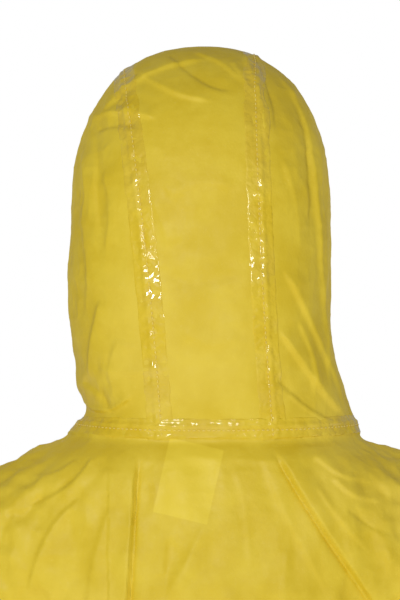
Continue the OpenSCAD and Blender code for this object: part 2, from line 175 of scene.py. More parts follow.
# Half widths down the hood, neck and body, for the wearer's left and right side, by height under
# the neck seam's own dip. The hood sits a little turned on the head, pinched on the left of the neck.
BODY_WIDTH = [
    (-106, 183), (-142, 176), (-180, 167), (-216, 158), (-250, 152), (-290, 166), (-334, 184), (-382, 190),
    (-430, 186), (-480, 194), (-545, 206), (-612, 214), (-680, 213), (-760, 204),
]
LEFT_WIDTH = [
    (200, 122), (170, 123.5), (128, 126), (90, 123), (62, 119), (40, 117), (25, 109), (15, 111), (5, 121),
    (-8, 137), (-22, 160), (-36, 180), (-52, 189), (-70, 189), *BODY_WIDTH,
]
RIGHT_WIDTH = [
    (200, 116), (170, 116.5), (128, 116), (90, 117), (62, 122), (40, 129), (25, 135), (15, 138), (5, 143),
    (-8, 150), (-22, 168), (-36, 183), (-52, 191), (-70, 190), *BODY_WIDTH,
]
BACK_Y = [
    (200, 110), (138, 112), (70, 107), (25, 101), (2, 98), (-9, 102), (-18, 107), (-30, 111), (-62, 116),
    (-104, 121), (-180, 125), (-248, 127), (-334, 124), (-430, 118), (-480, 120), (-545, 125), (-612, 130),
    (-680, 131), (-760, 118),
]
FRONT_Y = [(200, -116), (60, -114), (20, -112), (-640, -112), (-690, -108), (-760, -96)]
CROWN_START, CROWN_RISE = 200, 154
SLEEVE_R = [
    (0, 82), (30, 79.5), (70, 76.5), (130, 72), (190, 68), (250, 64.5), (310, 60), (370, 55), (430, 51),
    (480, 46.5), (515, 42), (535, 39.5), (560, 39),
]
LEG_R = [
    (0, 92), (60, 90.5), (150, 87.5), (250, 84.5), (330, 82.5), (400, 79), (470, 74), (540, 69.5),
    (600, 64), (650, 56.5), (680, 50.5), (695, 49), (714, 48.5),
]


def neck_z(y):
    """Height of the neck seam, which dips towards the front."""
    w = np.clip((NECK_BACK_Y - y) / (NECK_BACK_Y - NECK_FRONT_Y), 0, 1)
    return -NECK_DIP * w**3


def level(y, z):
    """Height measured from the neck seam near it, and plain height away from it."""
    near = smooth(z, -115, -40) * (1 - smooth(z, 20, 90))
    return z - neck_z(y) * near


def trunk(x, y, z):
    s = level(y, z)
    width = np.where(x > 0, curve(LEFT_WIDTH, s), curve(RIGHT_WIDTH, s))
    back, front = curve(BACK_Y, s), curve(FRONT_Y, s)
    depth, mid = (back - front) / 2, (back + front) / 2
    rise = np.clip(s - CROWN_START, 0, None) / CROWN_RISE
    n = 2.4 - 0.1 * smooth(s, 200, 320)
    upright = (np.abs((y - mid) / depth) ** 2.2 + rise**2.2) ** (n / 2.2)
    q = (np.abs(x / width) ** n + upright) ** (1 / n)
    return (q - 1) * np.minimum(width, depth)


def limb(x, y, z, joint, along, radius, side):
    dx, dy, dz = x * side - joint[0], y - joint[1], z - joint[2]
    t = dx * along[0] + dz * along[2]
    across = dx * along[2] - dz * along[0]
    ball = np.clip(-t, 0, None)
    return np.sqrt(across**2 + dy**2 + ball**2) - curve(radius, np.clip(t, 0, None))


def suit(x, y, z):
    body = trunk(x, y, z)
    body = -soft_min(-body, z + 775, 60)
    armpit = 12 + 24 * smooth(z, -190, -110)
    for side in (1, -1):
        body = soft_min(body, limb(x, y, z, SHOULDER, ARM, SLEEVE_R, side), armpit)
        body = soft_min(body, limb(x, y, z, HIP, LEG, LEG_R, side), 44)
    return body


def gradient(f, p, h=0.5):
    """Value and gradient of a field at points p."""
    g = np.stack(
        [
            (f(*(p + d).T) - f(*(p - d).T)) / (2 * h)
            for d in np.eye(3) * h
        ],
        axis=1,
    )
    return f(*p.T), g


def onto(f, p, steps=3):
    """Points p moved onto the surface f = 0."""
    for _ in range(steps):
        v, g = gradient(f, p)
        p = p - (v / np.maximum((g**2).sum(1), 0.05))[:, None] * g
    return p


def surface_nets(f, low, high, h):
    """Even quads over the surface f = 0 inside a box."""
    axes = [np.arange(a, b + h, h) for a, b in zip(low, high)]
    grid = np.empty([len(a) for a in axes])
    yy, zz = np.meshgrid(axes[1], axes[2], indexing="ij")
    for i, x in enumerate(axes[0]):
        grid[i] = f(np.full(yy.shape, x), yy, zz)
    n = np.array(grid.shape) - 1
    corners = [(a, b, c) for a in (0, 1) for b in (0, 1) for c in (0, 1)]

    def at(c):
        return grid[c[0]:n[0] + c[0], c[1]:n[1] + c[1], c[2]:n[2] + c[2]]

    count = sum((at(c) < 0).astype(int) for c in corners)
    active = (count > 0) & (count < 8)
    cell = np.argwhere(active)
    index = np.full(active.shape, -1)
    index[active] = np.arange(len(cell))
    total, hits = np.zeros((len(cell), 3)), np.zeros(len(cell))
    for a in corners:
        for axis in range(3):
            if a[axis]:
                continue
            b = list(a)
            b[axis] = 1
            fa, fb = at(a)[active], at(b)[active]
            cross = (fa < 0) != (fb < 0)
            t = np.where(cross, fa / np.where(cross, fa - fb, 1), 0)
            place = np.array(a, float) + t[:, None] * (np.array(b, float) - a)
            total[cross] += place[cross]
            hits[cross] += 1
    points = np.array([a[0] for a in axes]) + h * (cell + total / hits[:, None])
    quads = []
    inside = grid < 0
    for axis in range(3):
        u, v = (axis + 1) % 3, (axis + 2) % 3
        first = [slice(0, None)] * 3
        second = [slice(0, None)] * 3
        first[axis], second[axis] = slice(0, -1), slice(1, None)
        a, b = inside[tuple(first)], inside[tuple(second)]
        where = np.argwhere(a != b)
        where = where[
            (where[:, u] > 0) & (where[:, v] > 0) & (where[:, u] < n[u]) & (where[:, v] < n[v])
        ]
        outward = a[tuple(where.T)]
        around = []
        for du, dv in ((1, 1), (0, 1), (0, 0), (1, 0)):
            c = where.copy()
            c[:, u] -= du
            c[:, v] -= dv
            around.append(index[tuple(c.T)])
        q = np.stack(around, axis=1)
        q[~outward] = q[~outward][:, ::-1]
        quads.append(q)
    return points, np.concatenate(quads)


def edges_of(quads):
    e = np.concatenate([quads[:, [0, 1]], quads[:, [1, 2]], quads[:, [2, 3]], quads[:, [3, 0]]])
    return np.unique(np.sort(e, axis=1), axis=0, return_counts=True)


def averages(p, edges):
    """Mean of each point's neighbours."""
    out, n = np.zeros_like(p), np.zeros(len(p))
    for a, b in ((0, 1), (1, 0)):
        for k in range(p.shape[1]):
            out[:, k] += np.bincount(edges[:, a], p[edges[:, b], k], len(p))
        n += np.bincount(edges[:, a], minlength=len(p))
    return out / np.maximum(n, 1)[:, None]


def kept(points, quads, keep):
    """The quads to keep and only the points they use."""
    quads = quads[keep]
    used = np.unique(quads)
    new = np.full(len(points), -1)
    new[used] = np.arange(len(used))
    return points[used], new[quads], used


def along_limb(p, joint, along, side):
    d = p * [side, 1, 1] - joint
    return d @ along, d


# ---- openings -----------------------------------------------------------------------------------

FACE_X, FACE_LOW, FACE_HIGH = 84.0, 38.0, 292.0


def face_ring(p):
    """Below 1 inside the face opening, seen from the front."""
    u = np.abs((p[:, 0]) / FACE_X)
    v = np.abs((p[:, 2] - (FACE_LOW + FACE_HIGH) / 2) / ((FACE_HIGH - FACE_LOW) / 2))
    return (u**2.2 + v**2.2) ** (1 / 2.2)


SLEEVE_CUT = UPPER_SLEEVE + LOWER_SLEEVE - CUFF + 3
LEG_CUT = UPPER_LEG + LOWER_LEG - ANKLE_HEM + 3


def opened(points, quads):
    c = points[quads].mean(1)
    gone = (face_ring(c) < 1) & (c[:, 1] < -30)
    gone |= (np.abs(c[:, 0]) < ZIP_HALF_GAP) & (c[:, 1] < -90) & (c[:, 2] < ZIP_TOP) & (c[:, 2] > ZIP_BOTTOM)
    for side in (1, -1):
        t, d = along_limb(c, SHOULDER, ARM, side)
        gone |= (t > SLEEVE_CUT) & (d[:, 0] > 100)
        t, d = along_limb(c, HIP, LEG, side)
        gone |= t > LEG_CUT
    return kept(points, quads, ~gone)[:2]


def trimmed(points, quads):
    """Rim points moved exactly onto each opening's edge."""
    edges, uses = edges_of(quads)
    rim = np.unique(edges[uses == 1])
    p = points[rim]
    face = (p[:, 1] < -30) & (p[:, 2] > 20) & (np.abs(face_ring(p) - 1) < 0.3)
    zipper = (p[:, 1] < -80) & (p[:, 2] < 0) & (np.abs(p[:, 0]) < 30) & (p[:, 2] > -660)
    for _ in range(4):
        q = p[face]
        flat = (q - [0, 0, (FACE_LOW + FACE_HIGH) / 2]) * [1, 0, 1]
        p[face] = q + flat * (1 / face_ring(q) - 1)[:, None]
        long_edge = zipper & (p[:, 2] <= ZIP_TOP - 4) & (p[:, 2] >= ZIP_BOTTOM + 4)
        p[long_edge, 0] = np.sign(p[long_edge, 0]) * ZIP_HALF_GAP
        for side in (1, -1):
            t, d = along_limb(p, SHOULDER, ARM, side)
            cuff = (t > SLEEVE_CUT - 30) & (d[:, 0] > 100)
            p[cuff] -= (t[cuff] - SLEEVE_CUT)[:, None] * ARM * [side, 1, 1]
            t, d = along_limb(p, HIP, LEG, side)
            ankle = t > LEG_CUT - 30
            p[ankle] -= (t[ankle] - LEG_CUT)[:, None] * LEG * [side, 1, 1]
        p = onto(suit, p, 1)
    points = points.copy()
    points[rim] = p
    return points


CELL = 7.0
points, quads = surface_nets(suit, (-485, -145, -1465), (485, 150, 372), CELL)
edges = edges_of(quads)[0]
for _ in range(3):
    centre = averages(points, edges)
    points = onto(suit, points + 0.5 * (centre - points), 1)
points, quads = opened(points, quads)
points = trimmed(points, quads)
edges, uses = edges_of(quads)
rim = np.zeros(len(points), bool)
rim[np.unique(edges[uses == 1])] = True
for _ in range(4):
    centre = averages(points, edges)
    moved = onto(suit, points + 0.5 * (centre - points), 1)
    points[~rim] = moved[~rim]


def mesh_object(name, points, faces):
    mesh = bpy.data.meshes.new(name)
    faces = faces if isinstance(faces, list) else np.asarray(faces).tolist()
    mesh.from_pydata((np.asarray(points) * MM).tolist(), [], faces)
    mesh.polygons.foreach_set("use_smooth", [True] * len(mesh.polygons))
    mesh.update()
    obj = bpy.data.objects.new(name, mesh)
    bpy.context.scene.collection.objects.link(obj)
    return obj


# ---- how the fabric hangs -----------------------------------------------------------------------


def surface_normals(points):
    _, g = gradient(suit, points)
    return g / np.linalg.norm(g, axis=1)[:, None]


def limb_places(p):
    """Distance down the sleeve and down the leg of each point's own side, and how far it sits on each."""
    side = np.where(p[:, 0] > 0, 1, -1)
    out = []
    for joint, along in ((SHOULDER, ARM), (HIP, LEG)):
        d = p * np.stack([side, np.ones(len(p)), np.ones(len(p))], 1) - joint
        out.append(d @ along)
    on_sleeve = smooth(np.abs(p[:, 0]) + 0.26 * (p[:, 2] + 262), 190, 225) * (p[:, 2] > -680)
    on_leg = 1 - smooth(p[:, 2], -800, -730)
    return out[0], out[1], on_sleeve, on_leg


def draped(points, quads, rim):
    """The fabric let out a little against its worn shape, so that it buckles as loose laminate does."""
    normal = surface_normals(points)
    sleeve, leg, on_sleeve, on_leg = limb_places(points)
    s = level(points[:, 1], points[:, 2])
    rings = noise(points, np.array([46, 46, 26])) + 0.55 * noise(points + 500, np.array([19, 19, 12]))
    falls = noise(points, np.array([48, 70, 120])) + 0.4 * noise(points + 500, np.array([25, 30, 60]))
    limbs = np.clip(on_sleeve + on_leg, 0, 1)
    start = points + normal * (rings * limbs * 2.4 + falls * (1 - limbs) * np.where(s > -20, 0.1, 1.2))[:, None]
    start[rim] = points[rim]
    obj = mesh_object("drape", start, quads)
    loose = np.full(len(points), 0.25)
    loose[s > -160] = 0.12
    loose[s > -20] = 0.03
    loose = np.maximum(loose, on_sleeve * (0.5 + 0.5 * np.exp(-(((sleeve - 275) / 70) ** 2))))
    loose = np.maximum(loose, on_leg * (0.5 + 0.5 * np.exp(-(((leg - 370) / 90) ** 2))))
    loose = np.maximum(loose, np.exp(-(((points[:, 2] + 430) / 60) ** 2)) * 0.8)
    hold = np.full(len(points), 0.16)
    hold[s > -20] = 0.6
    hold[np.abs(s) < 6] = 0.7
    hold[rim] = 1
    for name, weight in (("let_out", 1 - loose), ("hold", hold)):
        group = obj.vertex_groups.new(name=name)
        for value in np.unique(weight.round(2)):
            group.add(np.nonzero(weight.round(2) == value)[0].tolist(), float(value), "REPLACE")
    cloth = obj.modifiers.new("cloth", "CLOTH")
    how = cloth.settings
    how.quality = 4
    how.mass = 0.15
    how.air_damping = 2
    how.tension_stiffness = how.compression_stiffness = 20
    how.shear_stiffness = 8
    how.bending_model = "ANGULAR"
    how.bending_stiffness = 1.0
    how.tension_damping = how.compression_damping = how.shear_damping = 5
    how.vertex_group_mass = "hold"
    how.pin_stiffness = 1
    how.vertex_group_shrink = "let_out"
    how.shrink_min = -0.06
    how.effector_weights.gravity = 0.15
    cloth.collision_settings.use_collision = False
    cloth.collision_settings.use_self_collision = False
    cloth.point_cache.frame_start = 1
    cloth.point_cache.frame_end = DRAPE_FRAMES
    for number in range(1, DRAPE_FRAMES + 1):
        bpy.context.scene.frame_set(number)
    settled = obj.evaluated_get(bpy.context.evaluated_depsgraph_get()).to_mesh()
    out = np.empty(len(points) * 3)
    settled.vertices.foreach_get("co", out)
    out = out.reshape(-1, 3) / MM
    bpy.data.objects.remove(obj)
    bpy.context.scene.frame_set(1)
    taut = 0.9 * smooth(s, -24, 0)[:, None]  # the hood is stretched over the head, and buckles little
    return out + taut * (points - out)


DRAPE_FRAMES = 32
points = draped(points, quads, rim)


def divided(points, quads, levels):
    """A Catmull-Clark subdivision."""
    obj = mesh_object("divide", points, quads)
    subsurf = obj.modifiers.new("subsurf", "SUBSURF")
    subsurf.levels = levels
    mesh = obj.evaluated_get(bpy.context.evaluated_depsgraph_get()).to_mesh()
    out = np.empty(len(mesh.vertices) * 3)
    mesh.vertices.foreach_get("co", out)
    faces = np.empty(len(mesh.loops), int)
    mesh.loops.foreach_get("vertex_index", faces)
    out, faces = out.reshape(-1, 3) / MM, faces.reshape(-1, 4).copy()
    bpy.data.objects.remove(obj)
    return out, faces


# The hood and upper back carry the finest creases, so their mesh is divided once more.
centres = points[quads].mean(1)
fine = (level(centres[:, 1], centres[:, 2]) > -190) & (centres[:, 1] > -40) & (np.abs(centres[:, 0]) < 215)
fine_points, fine_quads = divided(*kept(points, quads, fine)[:2], 2)
rest_points, rest_quads = divided(*kept(points, quads, ~fine)[:2], 1)
points = np.vstack([fine_points, rest_points])
quads = np.vstack([fine_quads, rest_quads + len(fine_points)])
smooth_normal = surface_normals(points)
edges, uses = edges_of(quads)
border = np.unique(edges[uses == 1])

# ---- folds --------------------------------------------------------------------------------------


def along_path(p, path):
    """For points p in a plane: signed distance from a path of straight stretches, and place along it, 0 to 1."""
    path = np.array(path, float)
    lengths = np.linalg.norm(np.diff(path, axis=0), axis=1)
    starts = np.concatenate([[0], np.cumsum(lengths)])
    best, signed, place = np.full(len(p), 1e9), np.zeros(len(p)), np.zeros(len(p))
    for i, (a, b) in enumerate(zip(path[:-1], path[1:])):
        t = np.clip((p - a) @ (b - a) / lengths[i] ** 2, 0, 1)
        d = p - a - t[:, None] * (b - a)
        r = np.linalg.norm(d, axis=1)
        cross = (b - a)[0] * (p - a)[:, 1] - (b - a)[1] * (p - a)[:, 0]
        near = r < best
        best[near], signed[near] = r[near], (np.sign(cross) * r)[near]
        place[near] = (starts[i] + t * lengths[i])[near] / starts[-1]
    return signed, place


def bent(path, steps=6):
    """A path's corners rounded off."""
    path = np.array(path, float)
    u = np.arange(len(path))
    t = np.linspace(0, len(path) - 1, (len(path) - 1) * steps + 1)
    return np.stack([curve(list(zip(u, path[:, k])), t) for k in range(path.shape[1])], 1)


# Each fold: its path in (x, z) seen from behind, how far it stands out, the width of its steep side
# and the width of its long side, in mm. A negative height is a valley.
BACK_FOLDS = [
    # the tuck beside the centre back, the crease that runs out to the armhole, and their smaller neighbours
    ([(60, -8), (63, -60), (66, -110), (70, -165), (75, -240), (82, -340)], 4.2, 17, 1.2),
    ([(58, -8), (61, -60), (64, -110), (68, -165), (73, -240), (80, -340)], -3.4, 1.3, 1.6),
    ([(-62, -8), (-92, -58), (-120, -100), (-148, -142), (-180, -190)], 4.4, 1.6, 28),
    ([(-60, -8), (-90, -59), (-118, -102), (-146, -144), (-178, -192)], -3.0, 2.0, 1.4),
    ([(-50, -12), (-66, -52), (-86, -92), (-112, -140)], 1.6, 3.0, 12),
    ([(-5, -66), (14, -104), (35, -144), (58, -196)], 2.0, 4, 12),
    ([(30, -84), (34, -130), (40, -180)], -1.4, 3, 12),
    ([(96, -16), (116, -40), (144, -58), (172, -66)], 2.6, 2.0, 12),
    ([(112, -20), (134, -34), (160, -38)], 1.8, 1.8, 8),
    ([(108, -52), (134, -78), (150, -112), (160, -150)], 2.8, 2.2, 16),
    ([(146, -50), (164, -74), (186, -84)], -2.2, 2.4, 8),
    ([(84, -60), (98, -110), (104, -160)], 1.6, 3, 13),
    ([(-96, -16), (-122, -34), (-152, -40)], 2.0, 1.6, 9),
    ([(-112, -34), (-134, -52), (-164, -58)], 2.2, 1.6, 9),
    ([(-126, -62), (-150, -80), (-178, -90)], -2.0, 2.0, 9),
    ([(-98, -40), (-118, -70), (-150, -104)], 1.6, 2.0, 10),
    ([(-26, -20), (-36, -60), (-42, -120)], 1.3, 3, 10),
    ([(-74, -96), (-70, -140), (-76, -190)], 1.4, 4, 12),
    ([(10, -150), (-8, -200), (-40, -270)], 2.8, 4, 18),
    ([(90, -210), (60, -280), (30, -330)], 3.0, 4, 18),
    ([(-110, -260), (-70, -330), (-20, -370)], 3.0, 4, 18),
    ([(130, -300), (90, -360), (40, -392)], 3.0, 4, 16),
    ([(-40, -450), (-20, -520), (-60, -600)], 2.6, 5, 18),
    ([(60, -450), (80, -530), (50, -610)], 2.6, 5, 18),
    ([(10, -700), (60, -670), (130, -650)], 3.4, 4, 18),
    ([(-10, -710), (-70, -680), (-140, -664)], 3.4, 4, 18),
]
HOOD_FOLDS = [
    # crown, then the sides, then the nape
    ([(92, 290), (74, 308), (50, 324), (20, 336), (-6, 340)], 2.6, 1.6, 13),
    ([(70, 334), (46, 318), (20, 305), (-10, 300)], 2.2, 1.6, 12),
    ([(34, 346), (12, 326), (-8, 314), (-28, 310)], -1.8, 2.0, 9),
    ([(58, 326), (66, 308), (70, 286)], 1.6, 1.8, 9),
    ([(10, 346), (-14, 336), (-34, 318)], 1.8, 1.6, 9),
    ([(-36, 348), (-40, 328), (-48, 304), (-52, 280), (-54, 262)], 3.0, 1.3, 10),
    ([(-44, 346), (-54, 322), (-62, 298), (-64, 272)], -2.2, 1.8, 8),
    ([(-24, 338), (-36, 318), (-46, 300)], 1.6, 1.6, 7),
    ([(-60, 336), (-76, 314), (-90, 286), (-98, 246), (-102, 200), (-105, 150), (-109, 90), (-113, 34)],
     3.8, 1.8, 16),
    ([(-80, 312), (-92, 272), (-96, 226), (-95, 180)], -2.0, 2.4, 9),
    ([(-70, 250), (-82, 210), (-86, 160)], 1.3, 3, 12),
    ([(104, 286), (82, 290), (58, 288), (40, 284)], 2.6, 1.5, 8),
    ([(100, 276), (78, 279), (56, 278)], -1.8, 1.8, 6),
    ([(112, 262), (106, 226), (108, 186), (103, 150), (106, 116)], 2.8, 2.2, 14),
    ([(104, 286), (96, 250), (96, 212), (90, 176)], -2.0, 2.2, 10),
    ([(90, 240), (84, 200), (88, 160)], 1.6, 2.4, 11),
    ([(-70, 152), (-86, 122), (-102, 84), (-120, 44), (-132, 14)], 3.2, 1.6, 15),
    ([(-66, 98), (-86, 68), (-110, 34), (-132, 12)], 3.6, 1.5, 13),
    ([(-64, 54), (-90, 30), (-120, 10)], -2.4, 1.8, 10),
    ([(-84, 106), (-96, 70), (-100, 34)], 2.0, 1.8, 9),
    ([(-74, 40), (-100, 20), (-128, 4)], 1.8, 1.5, 8),
    ([(96, 60), (64, 58), (34, 64)], 1.8, 3, 11),
    ([(116, 30), (98, 22), (80, 26), (62, 40)], 3.6, 1.3, 9),
    ([(112, 48), (94, 36), (82, 20)], -2.4, 1.6, 8),
    ([(92, 124), (101, 84), (104, 46)], 2.6, 2.2, 12),
    ([(76, 90), (84, 60), (80, 34)], 1.6, 2.4, 10),
    ([(34, 214), (6, 228), (-30, 226)], 1.2, 5, 16),
    ([(44, 152), (10, 138), (-34, 148)], -1.2, 6, 15),
    ([(20, 96), (-6, 84), (-34, 92)], 1.2, 5, 14),
    ([(56, 230), (40, 200), (30, 168)], 1.0, 5, 14),
]
# The same kind of list on the front, seen from the front, and down the limbs by (distance, angle).
FRONT_FOLDS = [
    ([(40, -60), (70, -110), (110, -150), (150, -190)], 3.4, 3, 18),
    ([(-40, -50), (-66, -104), (-104, -150), (-150, -200)], 3.4, 3, 18),
    ([(60, -190), (40, -260), (60, -330)], 2.4, 6, 18),
    ([(-70, -200), (-96, -270), (-80, -340)], 2.4, 6, 18),
    ([(30, -420), (80, -390), (150, -380)], 2.8, 4, 14),
    ([(-30, -440), (-90, -400), (-160, -392)], 2.8, 4, 14),
    ([(20, -600), (70, -640), (140, -662)], 3.6, 4, 18),
    ([(-24, -610), (-80, -652), (-150, -668)], 3.6, 4, 18),
    ([(30, -540), (90, -600), (170, -620)], 2.6, 5, 18),
    ([(-30, -530), (-100, -590), (-170, -600)], 2.6, 5, 18),
    ([(30, -690), (70, -730), (120, -760)], 3.4, 4, 16),
    ([(-30, -700), (-80, -740), (-130, -764)], 3.4, 4, 16),
]


def fold_height(p, folds):
    total = np.zeros(len(p))
    for path, height, steep, long in folds:
        low, high = np.min(path, axis=0) - 2.5 * long, np.max(path, axis=0) + 2.5 * long
        near = np.nonzero(np.all((p > low) & (p < high), axis=1))[0]
        d, place = along_path(p[near], bent(path, 3))
        wobble = 1 + 0.25 * np.sin(place * 17 + path[0][0])
        width = np.where(d > 0, steep, long * wobble)
        ends = smooth(place, 0, 0.12) * (1 - smooth(place, 0.8, 1.0))
        total[near] += height * ends * np.exp(-np.abs(d / width) ** 1.5)
    return total


def gathers(angle, count, phase):
    """Small sewn-in pleats around an elastic, even but not regular."""
    drift = 0.9 * np.sin(3 * angle + phase) + 0.6 * np.sin(7 * angle + 2 * phase)
    wave = np.sin(count * angle + drift)
    return wave * (0.75 + 0.25 * np.sin(5 * angle + phase))


def fold_relief(p, n):
    """How far the folds lift the fabric along its normal, in mm."""
    x, y, z = p.T
    s = level(y, z)
    sleeve, leg, on_sleeve, on_leg = limb_places(p)
    limbless = (1 - on_sleeve) * (1 - on_leg)
    seen = p[:, [0, 2]]
    back, front = smooth(n[:, 1], 0.02, 0.25), smooth(-n[:, 1], 0.02, 0.25)
    above = smooth(s, 6, 14)
    up = above * (0.3 + 0.7 * smooth(n[:, 1], 0.05, 0.55)) * (1 - smooth(-n[:, 1], 0.3, 0.7))
    out = fold_height(seen, HOOD_FOLDS) * up
    out += fold_height(seen, BACK_FOLDS) * back * (1 - smooth(s, -10, -3)) * limbless
    out += fold_height(seen, FRONT_FOLDS) * front * (1 - smooth(s, -14, -6)) * smooth(np.abs(x), 16, 34)
    # crumple: small flat facets, softer on the hood's back
    rough = np.where(s > 0, 0.2 + 0.22 * smooth(np.abs(x), 62, 88), 0.36)
    rough += 0.3 * smooth(np.abs(x), 100, 170) * (s < 0) + 0.3 * on_sleeve + 0.2 * on_leg
    facets = 0.95 - np.abs(noise(p, 30.0)) - 0.6 * np.abs(noise(p + 91, 17.0)) - 0.32 * np.abs(noise(p + 177, 9.0))
    out += rough * 1.5 * facets
    # pleats over the waist elastic, at the wrists, the ankles and round the face
    turn = np.arctan2(y, x)
    waist = np.exp(-(((z - WAIST_Z) / 20) ** 2)) * (y > -100) * limbless
    out += 2.4 * waist * gathers(turn, 46, 0.4) - 2.5 * waist
    for side in (1, -1):
        for joint, along, end, count, reach in (
            (SHOULDER, ARM, SLEEVE_CUT, 22, 20), (HIP, LEG, LEG_CUT, 26, 26),
        ):
            t, d = along_limb(p, joint, along, side)
            across = d[:, 0] * along[2] - d[:, 2] * along[0]
            angle = np.arctan2(d[:, 1], across)
            mine = (np.abs(t - end) < 95) * (np.hypot(d[:, 1], across) < 80)
            still = smooth(end - t, 3, 14)
            out += mine * still * 1.9 * np.exp(-np.abs(end - t) / reach) * gathers(angle, count, side)
    ring = face_ring(p)
    angle = np.arctan2(z - 165, x)
    face = (y < -40) * (z > 10) * np.exp(-np.clip(ring - 1.0, 0, None) * 84 / 16)
    out += 1.3 * face * gathers(angle, 44, 1.0)
    return out


def worn(points):
    """Points moved by the folds and by the places where the worn fabric bends as a whole."""
    n = smooth_normal
    out = points + n * fold_relief(points, n)[:, None]
    # the neck seam sits in a shallow groove, with the hood's fabric a little proud over it
    s = level(points[:, 1], points[:, 2])
    groove = np.where(s > 0, 0.9 * np.exp(-((s - 9) / 8.0) ** 2), -1.4 * np.exp(-((s + 3) / 5.0) ** 2))
    around = smooth(points[:, 1], -112, -80)
    out += n * (groove * around)[:, None]
    return out


final = worn(points)
eased = final + 0.2 * (averages(final, edges) - final)
eased[border] = final[border]
final = eased


def vertex_normals(p, q):
    n = np.cross(p[q[:, 2]] - p[q[:, 0]], p[q[:, 3]] - p[q[:, 1]])
    out = np.zeros_like(p)
    for c in range(q.shape[1]):
        for k in range(3):
            out[:, k] += np.bincount(q[:, c], n[:, k], len(p))
    return out / np.linalg.norm(out, axis=1)[:, None]


normals = vertex_normals(final, quads)
# where the finely divided cloth meets the rest, both sides share their normals
here, there = border[border < len(fine_points)], border[border >= len(fine_points)]
gap = np.linalg.norm(final[here][:, None] - final[there][None], axis=2)
for own, other, distance in ((here, there, gap), (there, here, gap.T)):
    nearest = distance.argmin(1)
    joined = distance.min(1) < 3.0
    total = normals[own[joined]] + normals[other[nearest[joined]]]
    normals[own[joined]] = total / np.linalg.norm(total, axis=1)[:, None]
tree = BVHTree.FromPolygons((final * MM).tolist(), quads.tolist())

# ---- materials ----------------------------------------------------------------------------------


class Nodes:
    """A short way to write a material's nodes."""

    def __init__(self, name):
        self.material = bpy.data.materials.new(name)
        self.material.use_nodes = True
        self.tree = self.material.node_tree
        self.shader = self.tree.nodes["Principled BSDF"]
        self.place = self.add("ShaderNodeTexCoord").outputs["Object"]

    def add(self, kind, **settings):
        node = self.tree.nodes.new(kind)
        for key, value in settings.items():
            setattr(node, key, value)
        return node

    def plug(self, socket, value):
        if isinstance(value, bpy.types.NodeSocket):
            self.tree.links.new(value, socket)
        else:
            socket.default_value = value

    def noise(self, scale, detail=3, rough=0.55, stretch=None, distortion=0):
        node = self.add("ShaderNodeTexNoise")
        place = self.place
        if stretch:
            mapping = self.add("ShaderNodeMapping")
            self.plug(mapping.inputs["Vector"], self.place)
            mapping.inputs["Scale"].default_value = stretch
            place = mapping.outputs[0]
        self.plug(node.inputs["Vector"], place)
        for key, value in (("Scale", scale), ("Detail", detail), ("Roughness", rough), ("Distortion", distortion)):
            node.inputs[key].default_value = value
        return node.outputs["Fac"]

    def cells(self, scale, feature="DISTANCE_TO_EDGE"):
        node = self.add("ShaderNodeTexVoronoi", feature=feature)
        self.plug(node.inputs["Vector"], self.place)
        node.inputs["Scale"].default_value = scale
        return node.outputs["Distance"]

    def ramp(self, value, low, high, to_low=0.0, to_high=1.0):
        node = self.add("ShaderNodeMapRange", clamp=True, interpolation_type="SMOOTHSTEP")
        self.plug(node.inputs["Value"], value)
        for key, number in (("From Min", low), ("From Max", high), ("To Min", to_low), ("To Max", to_high)):
            node.inputs[key].default_value = number
        return node.outputs["Result"]

    def math(self, operation, a, b=0.0):
        node = self.add("ShaderNodeMath", operation=operation)
        self.plug(node.inputs[0], a)
        self.plug(node.inputs[1], b)
        return node.outputs[0]

    def mix(self, factor, a, b):
        node = self.add("ShaderNodeMix", data_type="RGBA")
        self.plug(node.inputs["Factor"], factor)
        self.plug(node.inputs[6], a)
        self.plug(node.inputs[7], b)
        return node.outputs[2]

    def bump(self, *layers):
        """Layers of (height, strength, distance in mm), finest last."""
        normal = None
        for height, strength, distance in layers:
            node = self.add("ShaderNodeBump")
            self.plug(node.inputs["Height"], height)
            node.inputs["Strength"].default_value = strength
            node.inputs["Distance"].default_value = distance * MM
            if normal:
                self.plug(node.inputs["Normal"], normal)
            normal = node.outputs[0]
        self.plug(self.shader.inputs["Normal"], normal)

    def set(self, **values):
        for key, value in values.items():
            self.plug(self.shader.inputs[key.replace("_", " ")], value)


def rgb(r, g, b):
    """A colour as it looks on a screen, 0 to 255, for a shader."""
    out = []
    for v in (r, g, b):
        v /= 255
        out.append(v / 12.92 if v < 0.04045 else ((v + 0.055) / 1.055) ** 2.4)
    return (*out, 1)


